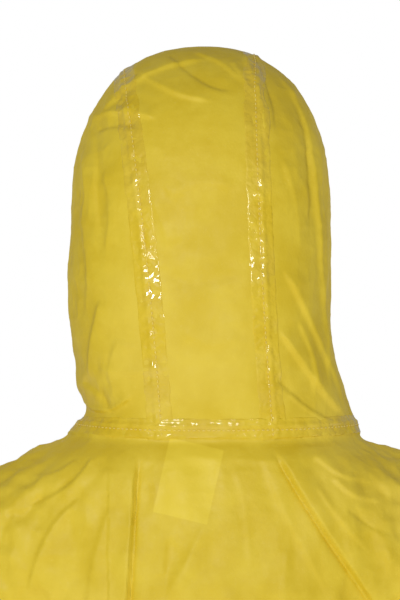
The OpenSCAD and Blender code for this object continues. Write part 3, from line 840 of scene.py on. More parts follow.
def laminate_material():
    """Yellow polyethylene-coated nonwoven: hazy, faintly mottled, with a soft plastic gloss."""
    m = Nodes("laminate")
    mottle = m.ramp(m.noise(24, 4, 0.6), 0.34, 0.68)
    haze = m.ramp(m.noise(6.5, 3, 0.55), 0.45, 0.72)
    speck = m.ramp(m.noise(900, 2, 0.6), 0.62, 0.74)
    colour = m.mix(mottle, rgb(222, 192, 38), rgb(231, 203, 54))
    colour = m.mix(m.math("MULTIPLY", haze, 0.5), colour, rgb(236, 209, 78))
    colour = m.mix(m.math("MULTIPLY", speck, 0.22), colour, rgb(246, 228, 128))
    # the size label sewn inside lies against the fabric and makes it look paler
    split = m.add("ShaderNodeSeparateXYZ")
    m.plug(split.inputs[0], m.place)
    tilt = math.radians(LABEL_TILT)
    dx = m.math("SUBTRACT", split.outputs[0], LABEL_PLACE[0] * MM)
    dz = m.math("SUBTRACT", split.outputs[2], LABEL_PLACE[1] * MM)
    u = m.math("ADD", m.math("MULTIPLY", dx, math.cos(tilt)), m.math("MULTIPLY", dz, math.sin(tilt)))
    v = m.math("SUBTRACT", m.math("MULTIPLY", dz, math.cos(tilt)), m.math("MULTIPLY", dx, math.sin(tilt)))
    in_u = m.ramp(m.math("ABSOLUTE", u), (LABEL_SIZE[0] / 2 + 0.8) * MM, (LABEL_SIZE[0] / 2 - 0.8) * MM)
    in_v = m.ramp(m.math("ABSOLUTE", v), (LABEL_SIZE[1] / 2 + 0.8) * MM, (LABEL_SIZE[1] / 2 - 0.8) * MM)
    behind = m.math("MULTIPLY", in_u, in_v)
    on_back = m.math("GREATER_THAN", split.outputs[1], 0.06)
    label = m.math("MULTIPLY", m.math("MULTIPLY", behind, on_back), 0.5)
    colour = m.mix(label, colour, rgb(248, 222, 66))
    m.set(Base_Color=colour)
    m.set(Roughness=m.ramp(m.noise(60, 3), 0.3, 0.7, 0.46, 0.58))
    m.set(Specular_IOR_Level=0.36)
    m.bump(
        (m.noise(55, 4, 0.6, stretch=(1, 1, 0.8)), 0.22, 3.0),
        (m.cells(70), 0.10, 1.4),
        (m.noise(420, 3, 0.6), 0.14, 0.5),
    )
    return m.material


def tape_material():
    """Clear yellow film heat-sealed over a seam: smooth, glossy and finely crinkled."""
    m = Nodes("seam_tape")
    patch = m.ramp(m.noise(38, 3), 0.35, 0.65)
    colour = m.mix(patch, rgb(223, 191, 34), rgb(231, 201, 48))
    m.set(Base_Color=colour)
    m.set(Roughness=m.ramp(m.noise(80, 3), 0.35, 0.7, 0.38, 0.5))
    m.set(Specular_IOR_Level=0.3, Coat_Roughness=0.05, Coat_IOR=1.55)
    m.set(Coat_Weight=m.ramp(m.noise(17, 2), 0.42, 0.56, 0.12, 1.0))
    m.bump(
        (m.cells(120), 0.5, 1.6),
        (m.noise(130, 2, 0.5), 0.5, 1.6),
        (m.noise(800, 3, 0.6), 0.06, 0.3),
    )
    return m.material


def plain_material(name, low, high, scale, roughness, bumps, stretch=None, **shader):
    """A material of two close colours mixed by noise, with layers of bump."""
    m = Nodes(name)
    m.set(Base_Color=m.mix(m.ramp(m.noise(scale, 4, 0.6, stretch), 0.32, 0.68), rgb(*low), rgb(*high)))
    m.set(Roughness=m.ramp(m.noise(scale * 2, 3), 0.3, 0.7, roughness[0], roughness[1]))
    m.set(**shader)
    m.bump(*[(m.noise(s, 3, 0.6, stretch), strength, depth) for s, strength, depth in bumps])
    return m.material


LABEL_PLACE, LABEL_SIZE, LABEL_TILT = (14.0, -37.0), (49.0, 66.0), 13.0
laminate = laminate_material()
tape = tape_material()
thread = plain_material(
    "thread", (236, 205, 70), (250, 226, 110), 900, (0.5, 0.65), [(2600, 0.5, 0.15)], Sheen_Weight=0.3
)
elastic = plain_material(
    "elastic", (222, 218, 200), (240, 236, 222), 220, (0.75, 0.9),
    [(900, 0.6, 0.4), (2500, 0.4, 0.2)], (1, 1, 5), Sheen_Weight=0.4,
)
liner = plain_material(
    "liner", (232, 228, 214), (246, 243, 234), 60, (0.32, 0.42), [(90, 0.15, 0.6), (800, 0.1, 0.2)],
    Coat_Weight=0.15,
)
zip_tape = plain_material(
    "zipper_tape", (206, 166, 20), (228, 190, 34), 500, (0.6, 0.75),
    [(700, 0.5, 0.3), (2200, 0.4, 0.15)], (1, 1, 3), Sheen_Weight=0.2,
)
teeth = plain_material(
    "zipper_teeth", (214, 172, 14), (228, 190, 28), 140, (0.3, 0.42), [(500, 0.12, 0.2)],
    Specular_IOR_Level=0.5,
)
hardware = plain_material(
    "zipper_hardware", (206, 164, 12), (222, 182, 24), 180, (0.26, 0.4), [(420, 0.15, 0.3), (1500, 0.1, 0.1)],
    Coat_Weight=0.3,
)
label_cloth = plain_material(
    "label_cloth", (236, 234, 226), (248, 247, 242), 300, (0.6, 0.75), [(1400, 0.3, 0.15)]
)

# ---- pieces of the garment ----------------------------------------------------------------------

arm_saddle = (0.971, -0.240)  # direction in (x, z) across the armhole, away from the body
leg_saddle = (0.651, -0.759)


def finish(obj, material, *nodes, slot=None):
    obj.data.materials.clear()
    obj.data.materials.append(material)
    if nodes:
        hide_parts(*nodes)
    return obj


def hang(obj, zone, side=1):
    """Puts a piece on its body, or bakes it in place where it would lie between two."""
    name = {1: "left", -1: "right"}[side]
    if zone in ("torso", "hood", "chin_flap", "storm_flap"):
        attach(obj, zone)
    elif zone == "neck":
        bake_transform(obj)
    elif zone == "shoulder":
        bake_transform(obj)
    elif zone == "hip":
        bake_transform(obj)
    elif zone == "elbow":
        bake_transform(obj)
    elif zone == "knee":
        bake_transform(obj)
    else:
        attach(obj, f"{name}_{zone}")
    return obj


def saddle_offset(axis, box):
    """Where the valley between a limb and the body lies across the limb's own direction."""
    inside = np.all((final > box[0]) & (final < box[1]), axis=1)
    p = final[inside & (normals[:, 2] < -0.9)]
    return p[:, 0] * axis[0] + p[:, 2] * axis[1]


armpit = saddle_offset(arm_saddle, ((140, -30, -290), (200, 40, -200)))
crotch = saddle_offset(leg_saddle, ((0, -30, -860), (30, 40, -760)))
ARM_ZONE = (float(np.median(armpit)) + 2, float(np.median(armpit)) + 88)
LEG_ZONE = (float(np.median(crotch)) + 2, float(np.median(crotch)) + 165)

HOOD_SEAM_LEFT = (39.0, 0.06, 0.00014)
HOOD_SEAM_RIGHT = (62.8, -0.092, 0.00013)


def hood_seam_x(side, y, z):
    """Where each hood seam runs: up the back, over the crown and to the face edge."""
    a, b, c = HOOD_SEAM_LEFT if side > 0 else HOOD_SEAM_RIGHT
    back = a + b * z + c * z * z
    forward = smooth(-np.asarray(y, float), -20, 78)
    return side * (back * (1 - forward) + 53 * forward)


def panel_of(c):
    """The name of the panel that each face, by its centre, belongs to."""
    x, y, z = c.T
    side = np.where(x > 0, 1, -1)
    name = np.where(x > 0, "left", "right").astype(object)
    neck = z - neck_z(y)
    out = np.full(len(c), "back_panel", dtype=object)
    out[y < SIDE_SEAM_Y] = name[y < SIDE_SEAM_Y] + "_front_panel"
    hood = neck > 0
    out[hood] = name[hood] + "_hood_panel"
    mid = hood & (x < hood_seam_x(1, y, z)) & (x > hood_seam_x(-1, y, z)) & ((y > -20) | (z > 250))
    out[mid] = "hood_centre_panel"
    t, _, _, _ = limb_places(c)
    across = np.abs(x) * arm_saddle[0] + z * arm_saddle[1]
    arm = (across > ARM_ZONE[0]) & (t > -100) & (np.abs(x) > arm_edge(z)) & (z > -680) & (neck < 0)
    out[arm & (t < ARM_SPLIT)] = name[arm & (t < ARM_SPLIT)] + "_upper_sleeve_panel"
    out[arm & (t >= ARM_SPLIT)] = name[arm & (t >= ARM_SPLIT)] + "_lower_sleeve_panel"
    _, t, _, _ = limb_places(c)
    across = np.abs(x) * leg_saddle[0] + z * leg_saddle[1]
    leg = (across > LEG_ZONE[0]) & (z < -560) & ~arm
    out[leg & (t < LEG_SPLIT)] = name[leg & (t < LEG_SPLIT)] + "_upper_leg_panel"
    out[leg & (t >= LEG_SPLIT)] = name[leg & (t >= LEG_SPLIT)] + "_lower_leg_panel"
    return out


SIDE_SEAM_Y = 2.0
ARM_SPLIT, LEG_SPLIT = 252.0, 282.0


def arm_edge(z):
    """Half width that parts the body's side from the sleeve, below the armpit."""
    return curve([(0, 100), (-225, 146), (-250, 156), (-288, 172), (-334, 194), (-382, 209), (-430, 220),
                  (-560, 238)], z)


PANELS = {
    "back_panel": ("torso", ["back_panel", "crotch_gusset"]),
    "left_front_panel": ("torso", ["front_left_panel"]),
    "right_front_panel": ("torso", ["front_right_panel"]),
    "hood_centre_panel": ("neck", ["hood_centre_panel"]),
    "left_hood_panel": ("neck", ["hood_left_panel"]),
    "right_hood_panel": ("neck", ["hood_right_panel"]),
}
for side_name in SIDES:
    PANELS[f"{side_name}_upper_sleeve_panel"] = ("shoulder", [f"{side_name}_upper_sleeve"])
    PANELS[f"{side_name}_lower_sleeve_panel"] = ("elbow", [f"{side_name}_lower_sleeve"])
    PANELS[f"{side_name}_upper_leg_panel"] = ("hip", [f"{side_name}_upper_leg"])
    PANELS[f"{side_name}_lower_leg_panel"] = ("knee", [f"{side_name}_lower_leg"])

owner = panel_of(final[quads].mean(1))
for name, (zone, nodes) in PANELS.items():
    part_points, part_quads, used = kept(final, quads, owner == name)
    obj = mesh_object(name, part_points, part_quads)
    obj.data.normals_split_custom_set_from_vertices(normals[used].tolist())
    finish(obj, laminate, *nodes, slot="laminate")
    hang(obj, zone, -1 if name.startswith("right") else 1)


# ---- things that lie on the fabric --------------------------------------------------------------


def on_fabric(p, reach=40):
    """The nearest places on the fabric to points p, and its normals there."""
    places, facing = np.empty_like(p), np.empty_like(p)
    for i, q in enumerate(p):
        hit, normal, _, _ = tree.find_nearest(Vector(q * MM), reach * MM)
        if hit is None:
            hit, normal = Vector(q * MM), Vector((0, 0, 1))
        places[i], facing[i] = np.array(hit) / MM, normal
    return places, facing


def ray(origin, direction):
    hit, normal, _, _ = tree.ray_cast(Vector(np.asarray(origin) * MM), Vector(direction))
    return None if hit is None else np.array(hit) / MM


def evened(path, step, closed=False):
    """Points step apart along a path."""
    path = np.asarray(path, float)
    if closed:
        path = np.vstack([path, path[:1]])
    lengths = np.linalg.norm(np.diff(path, axis=0), axis=1)
    run = np.concatenate([[0], np.cumsum(lengths)])
    count = max(2, int(round(run[-1] / step)))
    t = np.linspace(0, run[-1], count + 1)
    out = np.stack([np.interp(t, run, path[:, k]) for k in range(3)], 1)
    return out[:-1] if closed else out


def settle_path(path, closed=False):
    """A path smoothed a little, lying on the fabric, with its direction, normal and sideways vectors."""
    for _ in range(2):
        before = np.roll(path, 1, 0)
        after = np.roll(path, -1, 0)
        if not closed:
            before[0], after[-1] = path[0], path[-1]
        path = (before + 2 * path + after) / 4
        path, normal = on_fabric(path)
    before, after = np.roll(path, 1, 0), np.roll(path, -1, 0)
    if not closed:
        before[0], after[-1] = path[0], path[-1]
    along = after - before
    along /= np.linalg.norm(along, axis=1)[:, None]
    for _ in range(3):
        n = np.roll(normal, 1, 0) + np.roll(normal, -1, 0) + 2 * normal
        if not closed:
            n[0], n[-1] = normal[0], normal[-1]
        normal = n / np.linalg.norm(n, axis=1)[:, None]
    sideways = np.cross(along, normal)
    sideways /= np.linalg.norm(sideways, axis=1)[:, None]
    return path, along, normal, sideways


def grid_faces(rows, cols, wrap_rows=False, wrap_cols=False):
    r, c = np.meshgrid(np.arange(rows if wrap_rows else rows - 1), np.arange(cols if wrap_cols else cols - 1),
                       indexing="ij")
    r, c = r.ravel(), c.ravel()
    r2, c2 = (r + 1) % rows, (c + 1) % cols
    return np.stack([r * cols + c, r * cols + c2, r2 * cols + c2, r2 * cols + c], 1)


FILM_LIFT = 0.22


def clearance(p):
    """How far a film stands off the fabric: more where the fabric's mesh is coarser."""
    fine = smooth(p[:, 1], -34, -14) * smooth(level(p[:, 1], p[:, 2]), -184, -160)
    fine *= 1 - smooth(np.abs(p[:, 0]), 180, 205)
    return FILM_LIFT + 0.5 * (1 - fine)


def strip(name, path, width, height, closed=False, columns=17):
    """A band of film on the fabric along a path. height(u, v) adds relief, u along and v across, in mm."""
    path, along, normal, sideways = settle_path(path, closed)
    v = np.linspace(-1, 1, columns)
    v = np.sign(v) * np.abs(v) ** 0.9 * width / 2
    run = np.concatenate([[0], np.cumsum(np.linalg.norm(np.diff(path, axis=0), axis=1))])
    edge = 0.35 * noise(np.stack([run, run * 0, run * 0], 1), 9.0)
    rows = []
    across = np.concatenate([[v[0] - 0.5], v, [v[-1] + 0.5]])
    for j, w in enumerate(across):
        p = path + sideways * (w + edge * (w / (width / 2)))[:, None]
        p, n = on_fabric(p)
        rim = j in (0, len(across) - 1)
        rise = -0.2 if rim else clearance(p)
        h = 0 if rim else height(run, w) * (1 - abs(w) / (width / 2 + 2)) ** 0.3
        rows.append(p + n * np.broadcast_to(rise + h, len(p))[:, None])
    p = np.stack(rows, 1)
    faces = grid_faces(len(path), len(across), wrap_rows=closed)
    obj = mesh_object(name, p.reshape(-1, 3), faces)
    flip_outwards(obj)
    return obj, (path, along, normal, sideways, run)


def flip_outwards(obj):
    """Faces turned to look away from the fabric."""
    mesh = obj.data
    total = 0
    for f in list(mesh.polygons)[:: max(1, len(mesh.polygons) // 40)]:
        _, n, _, _ = tree.find_nearest(f.center)
        total += f.normal.dot(n)
    if total < 0:
        mesh.flip_normals()


def seam_relief(phase, ridge_side=1):
    """A lapped seam under its tape: a narrow ridge beside the stitches, and small crinkles."""

    def height(u, v):
        ridge = 1.0 * np.exp(-(((v - 2.6 * ridge_side) / 2.0) ** 2)) + 0.25 * np.exp(-((v / 7.0) ** 2))
        q = np.stack([u + phase * 100, np.full(len(u), v * 1.0), np.full(len(u), phase * 31.0)], 1)
        crinkle = 0.30 * noise(q, np.array([8, 8, 9])) + 0.26 * noise(q + 7, np.array([3.6, 4, 9]))
        pucker = 0.28 * np.sin(u / 2.3 + 1.5 * np.sin(u / 17.0)) * np.exp(-((v / 6.0) ** 2))
        return ridge + crinkle + pucker

    return height


def stitches(name, frame_of_path, offset, pitch=4.4, length=2.6, thick=0.55, rise=1.0):
    """A row of thread stitches beside a path."""
    path, along, normal, sideways, run = frame_of_path
    spots = np.arange(pitch, run[-1] - pitch / 2, pitch)
    lerp = lambda a: np.stack([np.interp(spots, run, a[:, k]) for k in range(3)], 1)
    centre, t, n, b = lerp(path), lerp(along), lerp(normal), lerp(sideways)
    centre, n2 = on_fabric(centre + b * offset)
    centre = centre + n2 * (clearance(centre) - FILM_LIFT)[:, None]
    ring = [(math.cos(a), math.sin(a)) for a in np.linspace(0, 2 * math.pi, 6, endpoint=False)]
    stations = [(-0.5, 0.35), (-0.36, 0.9), (0, 1.0), (0.36, 0.9), (0.5, 0.35)]
    points, faces = [], []
    for c, tt, nn, bb in zip(centre, t, n2, b):
        base = len(points)
        for s, r in stations:
            for cb, cn in ring:
                points.append(c + tt * s * length + bb * cb * thick * r + nn * (rise + cn * thick * 0.6 * r))
        for i in range(len(stations) - 1):
            for j in range(6):
                a, b2 = base + i * 6 + j, base + i * 6 + (j + 1) % 6
                faces.append((a, b2, b2 + 6, a + 6))
        faces.append(tuple(base + j for j in range(5, -1, -1)))
        faces.append(tuple(base + 24 + j for j in range(6)))
    return mesh_object(name, points, faces)


def hood_path(side):
    """A hood seam's path from the neck, over the crown, to the face edge."""
    out = []
    for z in np.arange(-2, 200, 6.0):
        out.append(ray((hood_seam_x(side, 60, z), 0, z), (0, 1, 0)))
    for a in np.arange(0, 125, 2.0):
        c, s = math.cos(math.radians(a)), math.sin(math.radians(a))
        y, z = 100 * c, 200 + 155 * s
        p = None
        for _ in range(3):
            p = ray((hood_seam_x(side, y, z), 0, 200), (0, c, s))
            if p is None:
                break
            y, z = p[1], p[2]
        if p is None or face_ring(p[None])[0] < 1.06 and p[1] < -40:
            break
        out.append(p)
    return evened(np.array([p for p in out if p is not None]), 1.8)


def finished_tape(name, path, zone, side, nodes, width=TAPE_W, closed=False, ridge_side=1, phase=0.0,
                  stitched=True):
    obj, frame_of_path = strip(name, path, width, seam_relief(phase, ridge_side), closed=closed)
    finish(obj, tape, *nodes, slot="seam_tape")
    hang(obj, zone, side)
    if stitched:
        row = stitches(f"{name}_stitching", frame_of_path, -1.4 * ridge_side)
        finish(row, thread, slot="seam_tape")
        hang(row, zone, side)
    return obj


for side_name, side in SIDES.items():
    finished_tape(
        f"{side_name}_hood_seam_tape", hood_path(side), "neck", side,
        [f"hood_{side_name}_seam_tape"], ridge_side=-side, phase=side + 2.0,
    )


def neck_path():
    out = []
    for a in np.radians(np.arange(-168, 168.5, 3.0)):
        x, y = math.sin(a), math.cos(a)
        z = 8.0
        for _ in range(3):
            p = ray((0, -6, z), (x, y, 0))
            if p is None:
                break
            z = float(neck_z(p[1])) + 8.5
        if p is not None:
            out.append(p)
    return evened(np.array(out), 1.8)


finished_tape("neck_seam_tape", neck_path(), "neck", 1, ["neck_seam_tape"], width=17, ridge_side=1, phase=7.0)


def side_path(side):
    out = []
    for z in np.arange(-262, -694, -6.0):
        y = float(curve([(-260, 16), (-430, 2), (-700, 2)], z))
        out.append(ray((0, y, z), (side, 0, 0)))
    return evened(np.array([p for p in out if p is not None and abs(p[0]) < 226]), 3.5)


def limb_path(joint, along, side, start, end, angle, lean=0.0):
    """Down a limb at an angle round it, 0 towards the body and 90 towards the back."""
    out = []
    for t in np.arange(start, end, 6.0):
        a = math.radians(angle + lean * (t - start))
        c = joint + along * t
        inward = np.array([along[2], 0, -along[0]]) * math.cos(a) + np.array([0, 1, 0]) * math.sin(a)
        out.append(ray(c * [side, 1, 1], inward * [side, 1, 1]))
    return evened(np.array([p for p in out if p is not None]), 3.5)


for side_name, side in SIDES.items():
    finished_tape(f"{side_name}_side_seam_tape", side_path(side), "torso", side,
                  [f"{side_name}_side_seam_tape", f"{side_name}_shoulder_seam_tape"], phase=3.0 + side)
    finished_tape(f"{side_name}_upper_sleeve_seam_tape", limb_path(SHOULDER, ARM, side, 172, ARM_SPLIT, 0),
                  "shoulder", side, [f"{side_name}_upper_sleeve_tape"], phase=4.0 + side)
    finished_tape(f"{side_name}_lower_sleeve_seam_tape", limb_path(SHOULDER, ARM, side, ARM_SPLIT, SLEEVE_CUT - 2, 0),
                  "elbow", side, [f"{side_name}_lower_sleeve_tape"], phase=5.0 + side)
    finished_tape(f"{side_name}_upper_leg_seam_tape", limb_path(HIP, LEG, side, 96, LEG_SPLIT, 0),
                  "hip", side, [f"{side_name}_upper_leg_tape"], phase=6.0 + side)
    finished_tape(f"{side_name}_lower_leg_seam_tape", limb_path(HIP, LEG, side, LEG_SPLIT, LEG_CUT - 2, 0),
                  "knee", side, [f"{side_name}_lower_leg_tape"], phase=7.0 + side)


# ---- elastic edges ------------------------------------------------------------------------------


def gathered_ring(name, centre, axis, sideways, profile, count, depth, columns=300, phase=0.0):
    """A gathered hem round an opening. profile is a closed loop of (distance along, radius, share of the gathers)."""
    axis, sideways = np.array(axis, float), np.array(sideways, float)
    other = np.cross(axis, sideways)
    angle = np.linspace(0, 2 * math.pi, columns, endpoint=False)
    wave = gathers(angle, count, phase)
    rows = []
    for i, (t, r, share) in enumerate(profile):
        radius = r + depth * share * wave + 0.25 * np.sin(2 * angle + phase)
        rows.append(
            np.array(centre) + axis * (t + 0.3 * share * np.cos(count * angle + 1))[:, None]
            + (sideways * np.cos(angle)[:, None] + other * np.sin(angle)[:, None]) * radius[:, None]
        )
    p = np.stack(rows, 0)
    return mesh_object(name, p.reshape(-1, 3), grid_faces(len(profile), columns, True, True))


def hem_profile(length, radius, grow):
    """A doubled hem, stitched near its inner edge, with the elastic's swell inside it."""
    outer = [(0, radius + grow + 1.9, 0.8), (1.6, radius + grow + 2.3, 0.9), (4, radius + 2.6, 0.55),
             (6, radius + 2.5, 0.7), (9, radius + 3.1, 1.0), (length * 0.55, radius + 3.3, 1.0),
             (length - 6, radius + 3.0, 1.0), (length - 3, radius + 2.6, 0.9), (length - 1, radius + 2.0, 0.8),
             (length, radius + 1.1, 0.75)]
    inner = [(length - 1, radius + 0.3, 0.6), (length - 5, radius + 0.1, 0.5), (length * 0.5, radius, 0.45),
             (6, radius + 0.2, 0.45), (1, radius + grow - 0.6, 0.6), (-3, radius + grow - 0.9, 0.7)]
    return outer + inner


for side_name, side in SIDES.items():
    for part, joint, along, start, length, radius, grow, count, body, nodes in (
        ("cuff", SHOULDER, ARM, UPPER_SLEEVE + LOWER_SLEEVE - CUFF, CUFF, 36.0, 2.4, 22, "lower_sleeve",
         [f"{side_name}_cuff"]),
        ("ankle_hem", HIP, LEG, UPPER_LEG + LOWER_LEG - ANKLE_HEM, ANKLE_HEM, 46.0, 2.3, 26, "lower_leg",
         [f"{side_name}_ankle_hem"]),
    ):
        centre = (joint + along * start) * [side, 1, 1]
        axis = along * [side, 1, 1]
        inward = np.array([along[2], 0, -along[0]]) * [side, 1, 1]
        ring = gathered_ring(f"{side_name}_{part}_fabric", centre, axis, inward,
                             hem_profile(length, radius, grow), count * 2, 1.0, phase=side * 0.7)
        finish(ring, laminate, *nodes, slot="laminate")
        hang(ring, body, side)
        band = gathered_ring(
            f"{side_name}_{part}_elastic_band", centre, axis, inward,
            [(4, radius - 0.1, 0.2), (5, radius - 0.7, 0.3), (length - 5, radius - 0.7, 0.3),
             (length - 4, radius - 0.1, 0.2)], 60, 0.25, 360,
        )
        finish(band, elastic, f"{side_name}_{'wrist' if part == 'cuff' else 'ankle'}_elastic", slot="elastic")
        hang(band, body, side)


def face_edge(scale):
    """The face opening's edge, or a line round it, on the fabric."""
    out = []
    for a in np.radians(np.arange(0, 360, 3)):
        u, v = math.cos(a), math.sin(a)
        r = (abs(u) ** 2.2 + abs(v) ** 2.2) ** (-1 / 2.2) * scale
        out.append((FACE_X * u * r, 0, (FACE_LOW + FACE_HIGH) / 2 + (FACE_HIGH - FACE_LOW) / 2 * v * r))
    hits = [ray((q[0], -400, q[2]), (0, 1, 0)) for q in out]
    return evened(np.array([h for h in hits if h is not None and h[1] < 0]), 2.4, closed=True)


def face_hem():
    """The face opening's folded hem, gathered by the elastic inside it."""
    path, along, normal, sideways = settle_path(face_edge(1.075), closed=True)
    centre = path.mean(0)
    outward = path - centre
    sign = np.sign((sideways * outward).sum(1).mean())
    sideways = sideways * sign
    turn = np.linspace(0, 2 * math.pi, len(path), endpoint=False)
    wave = gathers(turn, 74, 0.3)
    loop = [(7.5, 0.5, 0.5), (6.4, 1.1, 0.7), (4, 1.6, 0.9), (0, 2.2, 1.0), (-4, 2.1, 1.0), (-6.6, 1.2, 0.9),
            (-7.6, -0.3, 0.8), (-6.8, -1.5, 0.8), (-4, -2.2, 0.8), (0, -2.4, 0.8), (4, -1.8, 0.6), (7, -0.8, 0.4)]
    rows = [path + sideways * (v + 0.3 * wave * share)[:, None] + normal * (h + 0.8 * wave * share)[:, None]
            for v, h, share in loop]
    p = np.stack(rows, 0)
    obj = mesh_object("face_hem_fabric", p.reshape(-1, 3), grid_faces(len(loop), len(path), True, True))
    band = [(5, -2.9, 0.3), (5, -3.6, 0.3), (-5, -3.9, 0.3), (-5, -3.0, 0.3)]
    rows = [path + sideways * v + normal * (h + 0.5 * wave * share)[:, None] for v, h, share in band]
    inner = mesh_object("face_elastic_band", np.stack(rows, 0).reshape(-1, 3),
                        grid_faces(len(band), len(path), True, True))
    return obj, inner


hem, band = face_hem()
for obj in (hem, band):
    bm = bmesh.new()
    bm.from_mesh(obj.data)
    bmesh.ops.recalc_face_normals(bm, faces=bm.faces)
    bm.to_mesh(obj.data)
    bm.free()
finish(hem, laminate, "face_hem", slot="laminate")
hang(hem, "neck")
finish(band, elastic, "face_elastic", slot="elastic")
hang(band, "neck")


def waist_band():
    """The elastic glued inside the back of the waist."""
    out = []
    for a in np.radians(np.arange(-108, 108.5, 2.0)):
        p = ray((0, 0, WAIST_Z), (math.sin(a), math.cos(a), 0))
        if p is not None:
            out.append(p)
    path, along, normal, sideways = settle_path(evened(np.array(out), 2.5))
    run = np.arange(len(path)) * 2.5
    wave = np.sin(run / 1.3) * 0.3
    loop = [(-8, -1.0), (-8, -1.8), (8, -1.8), (8, -1.0)]
    rows = [path + sideways * v + normal * (h - 0.6 + wave * 0.3)[:, None] for v, h in loop]
    return mesh_object("waist_elastic_band", np.stack(rows, 0).reshape(-1, 3),
                       grid_faces(len(loop), len(path), True, False))


obj = finish(waist_band(), elastic, "waist_elastic", slot="elastic")
hang(obj, "torso")

# ---- label, flaps and zipper --------------------------------------------------------------------


def slab(name, corner, across, along, width, length, thick, cells, ripple=None, rounding=0.0, lift=0.0):
    """A thin sheet with rounded edges and free corners, standing out along across x along."""
    corner, across, along = (np.array(v, float) for v in (corner, across, along))
    normal = np.cross(across, along)
    nu, nv = cells
    u = np.concatenate([[0, 0.4], np.linspace(1.2, width - 1.2, nu), [width - 0.4, width]])
    v = np.concatenate([[0, 0.4], np.linspace(1.2, length - 1.2, nv), [length - 0.4, length]])
    edge_u = np.clip(np.minimum(u, width - u) / 1.2, 0, 1)
    edge_v = np.clip(np.minimum(v, length - v) / 1.2, 0, 1)
    full = np.sqrt(1 - (1 - np.minimum.outer(edge_u, edge_v)) ** 2)
    uu, vv = np.meshgrid(u, v, indexing="ij")
    if rounding:
        k = np.clip((rounding - np.minimum(vv, length - vv)) / rounding, 0, 1)
        uu = uu * (width - rounding * (1 - np.sqrt(1 - k * k))) / width
    height = lift + (ripple(uu, vv) if ripple else 0)
    middle = corner + uu[..., None] * across + vv[..., None] * along + normal * np.asarray(height)[..., None]
    half = normal * (thick / 2 * full)[..., None]
    top, bottom = (middle + half).reshape(-1, 3), (middle - half).reshape(-1, 3)
    faces = grid_faces(len(u), len(v))
    back = faces[:, ::-1] + len(top)
    obj = mesh_object(name, np.vstack([top, bottom]), np.vstack([faces, back]))
    bm = bmesh.new()
    bm.from_mesh(obj.data)
    bmesh.ops.remove_doubles(bm, verts=bm.verts, dist=1e-5)
    bmesh.ops.recalc_face_normals(bm, faces=bm.faces)
    bm.to_mesh(obj.data)
    bm.free()
    obj.data.polygons.foreach_set("use_smooth", [True] * len(obj.data.polygons))
    return obj


def flap_ripple(u, v):
    """A long flap's own waves, still along its sewn edge."""
    free = smooth(u, 4, 40)
    q = np.stack([v, u * 0, u * 0], -1)
    hem = 0.5 * np.exp(-((u - 4.0) / 1.2) ** 2) * -1
    return free * (1.4 * noise(q, 85.0) + 0.6 * noise(q + 40, 31.0)) + hem


FLAP_OUT = np.array([-0.9459, -0.3244, 0])
storm = slab("storm_flap_fabric", (-28.4, -117.0, -636), FLAP_OUT, (0, 0, 1), 57.5, 600, 1.6, (16, 200),
             flap_ripple, rounding=14)
finish(storm, laminate, "storm_flap", slot="laminate")
hang(storm, "storm_flap")
storm_liner = slab("storm_flap_release_strip", np.array([-28.4, -117.0, -624]) + FLAP_OUT * 39, FLAP_OUT,
                   (0, 0, 1), 14, 576, 0.5, (5, 200), lambda u, v: flap_ripple(u + 39, v + 12), lift=-1.1)
finish(storm_liner, liner, "storm_flap_adhesive", slot="liner")
hang(storm_liner, "storm_flap")

base = slab("storm_flap_base_fabric", (-26.8, -114.8, -636), (-1, 0, 0), (0, 0, 1), 14.4, 600, 1.3, (9, 200),
            lambda u, v: 0.35 * np.exp(-((u - 2.0) / 1.0) ** 2) + 0.22 * noise(np.stack([v, u, u * 0], -1), 12.0),
            lift=0)
finish(base, laminate, "storm_flap_base", slot="laminate")
hang(base, "torso")


def chin_ripple(u, v):
    edge = np.minimum(np.minimum(u, 58 - u), np.minimum(v, 50 - v))
    return -0.35 * np.exp(-((edge - 4) / 0.9) ** 2) + 0.3 * np.sin(u / 11 + v / 17)


chin = slab("chin_flap_fabric", (-28, -114.2, -16), (1, 0, 0), (0, 0, 1), 58, 50, 1.2, (52, 46), chin_ripple,
            rounding=13)
finish(chin, laminate, "chin_flap", slot="laminate")
hang(chin, "chin_flap")
chin_liner = slab("chin_flap_release_strip", (10, -113.4, -6), (1, 0, 0), (0, 0, 1), 14, 24, 0.4, (10, 16),
                  lambda u, v: 0.1 * np.sin(v / 4), rounding=2.0)
finish(chin_liner, liner, "chin_flap_adhesive", slot="liner")
hang(chin_liner, "chin_flap")


def label_patch():
    """The blank size label, lying against the inside of the back."""
    tilt = math.radians(LABEL_TILT)
    w, h = LABEL_SIZE
    n = 22
    rows = []
    for lift in (-1.1, -1.5):
        for v in np.linspace(-h / 2, h / 2, n):
            for u in np.linspace(-w / 2, w / 2, n):
                x = LABEL_PLACE[0] + u * math.cos(tilt) - v * math.sin(tilt)
                z = LABEL_PLACE[1] + u * math.sin(tilt) + v * math.cos(tilt)
                p = ray((x, 0, z), (0, 1, 0))
                _, normal = on_fabric(p[None])
                rows.append(p + normal[0] * lift)
    faces = grid_faces(n, n)
    rim = [j for j in range(n)] + [i * n + n - 1 for i in range(1, n)]
    rim += [n * n - 1 - j for j in range(1, n)] + [(n - 1 - i) * n for i in range(1, n - 1)]
    sides = [(a, b, b + n * n, a + n * n) for a, b in zip(rim, rim[1:] + rim[:1])]
    return mesh_object("size_label_cloth", rows, np.vstack([faces, faces[:, ::-1] + n * n, sides]))


obj = finish(label_patch(), label_cloth, "size_label", slot="liner")
hang(obj, "torso")

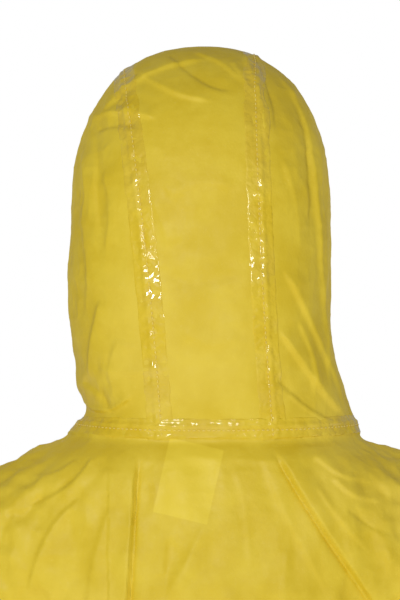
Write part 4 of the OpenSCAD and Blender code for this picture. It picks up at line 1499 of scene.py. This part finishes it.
MATERIAL_OF = {
    "zipper_tape_left": zip_tape, "zipper_tape_right": zip_tape, "zipper_chain_left": teeth,
    "zipper_chain_right": teeth, "zipper_top_stops": hardware, "zipper_bottom_stop": hardware,
    "zipper_slider": hardware, "zipper_pull_tab": hardware, "left_thumb_loop": elastic,
    "right_thumb_loop": elastic,
}
for node, material in MATERIAL_OF.items():
    obj = frame["nodes"][node]
    obj.data.materials.clear()
    obj.data.materials.append(material)

# ---- stage --------------------------------------------------------------------------------------

FLOOR_Z = cad_low[2] - 0.002
floor_mesh = bpy.data.meshes.new("floor")
floor_mesh.from_pydata([(-6, -6, FLOOR_Z), (6, -6, FLOOR_Z), (6, 6, FLOOR_Z), (-6, 6, FLOOR_Z)], [], [(0, 1, 2, 3)])
floor = bpy.data.objects.new("floor", floor_mesh)
bpy.context.scene.collection.objects.link(floor)
floor.data.materials.append(
    plain_material("floor", (236, 236, 236), (242, 242, 242), 3, (0.7, 0.8), [(40, 0.05, 1.0)],
                   Emission_Color=(1, 1, 1, 1), Emission_Strength=0.3)
)

scene = bpy.context.scene
scene.view_settings.view_transform = "Standard"
scene.view_settings.look = "None"
world = bpy.data.worlds.new("world")
scene.world = world
world.use_nodes = True
tree_of_world = world.node_tree
backdrop = tree_of_world.nodes["Background"]
backdrop.inputs["Color"].default_value = (1, 1, 1, 1)
backdrop.inputs["Strength"].default_value = 1.0
fill = tree_of_world.nodes.new("ShaderNodeBackground")
fill.inputs["Color"].default_value = (1, 1, 1, 1)
fill.inputs["Strength"].default_value = 0.3
rays = tree_of_world.nodes.new("ShaderNodeLightPath")
both = tree_of_world.nodes.new("ShaderNodeMixShader")
tree_of_world.links.new(rays.outputs["Is Camera Ray"], both.inputs[0])
tree_of_world.links.new(fill.outputs[0], both.inputs[1])
tree_of_world.links.new(backdrop.outputs[0], both.inputs[2])
tree_of_world.links.new(both.outputs[0], tree_of_world.nodes["World Output"].inputs["Surface"])


def softbox(name, place, target, size, power):
    data = bpy.data.lights.new(name, "AREA")
    data.shape = "RECTANGLE"
    data.size, data.size_y = size
    data.energy = power
    obj = bpy.data.objects.new(name, data)
    scene.collection.objects.link(obj)
    obj.location = place
    obj.rotation_mode = "QUATERNION"
    obj.rotation_quaternion = (Vector(target) - Vector(place)).to_track_quat("-Z", "Y")
    return obj


softbox("key", (0.75, 2.7, 0.5), (0, 0, 0.1), (0.5, 0.5), 26)
softbox("side", (-0.72, 2.6, 0.25), (0, 0, 0.12), (0.3, 0.5), 9)
for name, place, size, power in (
    ("front_key", (1.2, -2.8, 1.2), (1.6, 1.6), 40), ("front_fill", (-1.8, -2.2, 0.4), (1.2, 1.8), 22),
):
    softbox(name, place, (0, 0, -0.4), size, power).visible_glossy = False
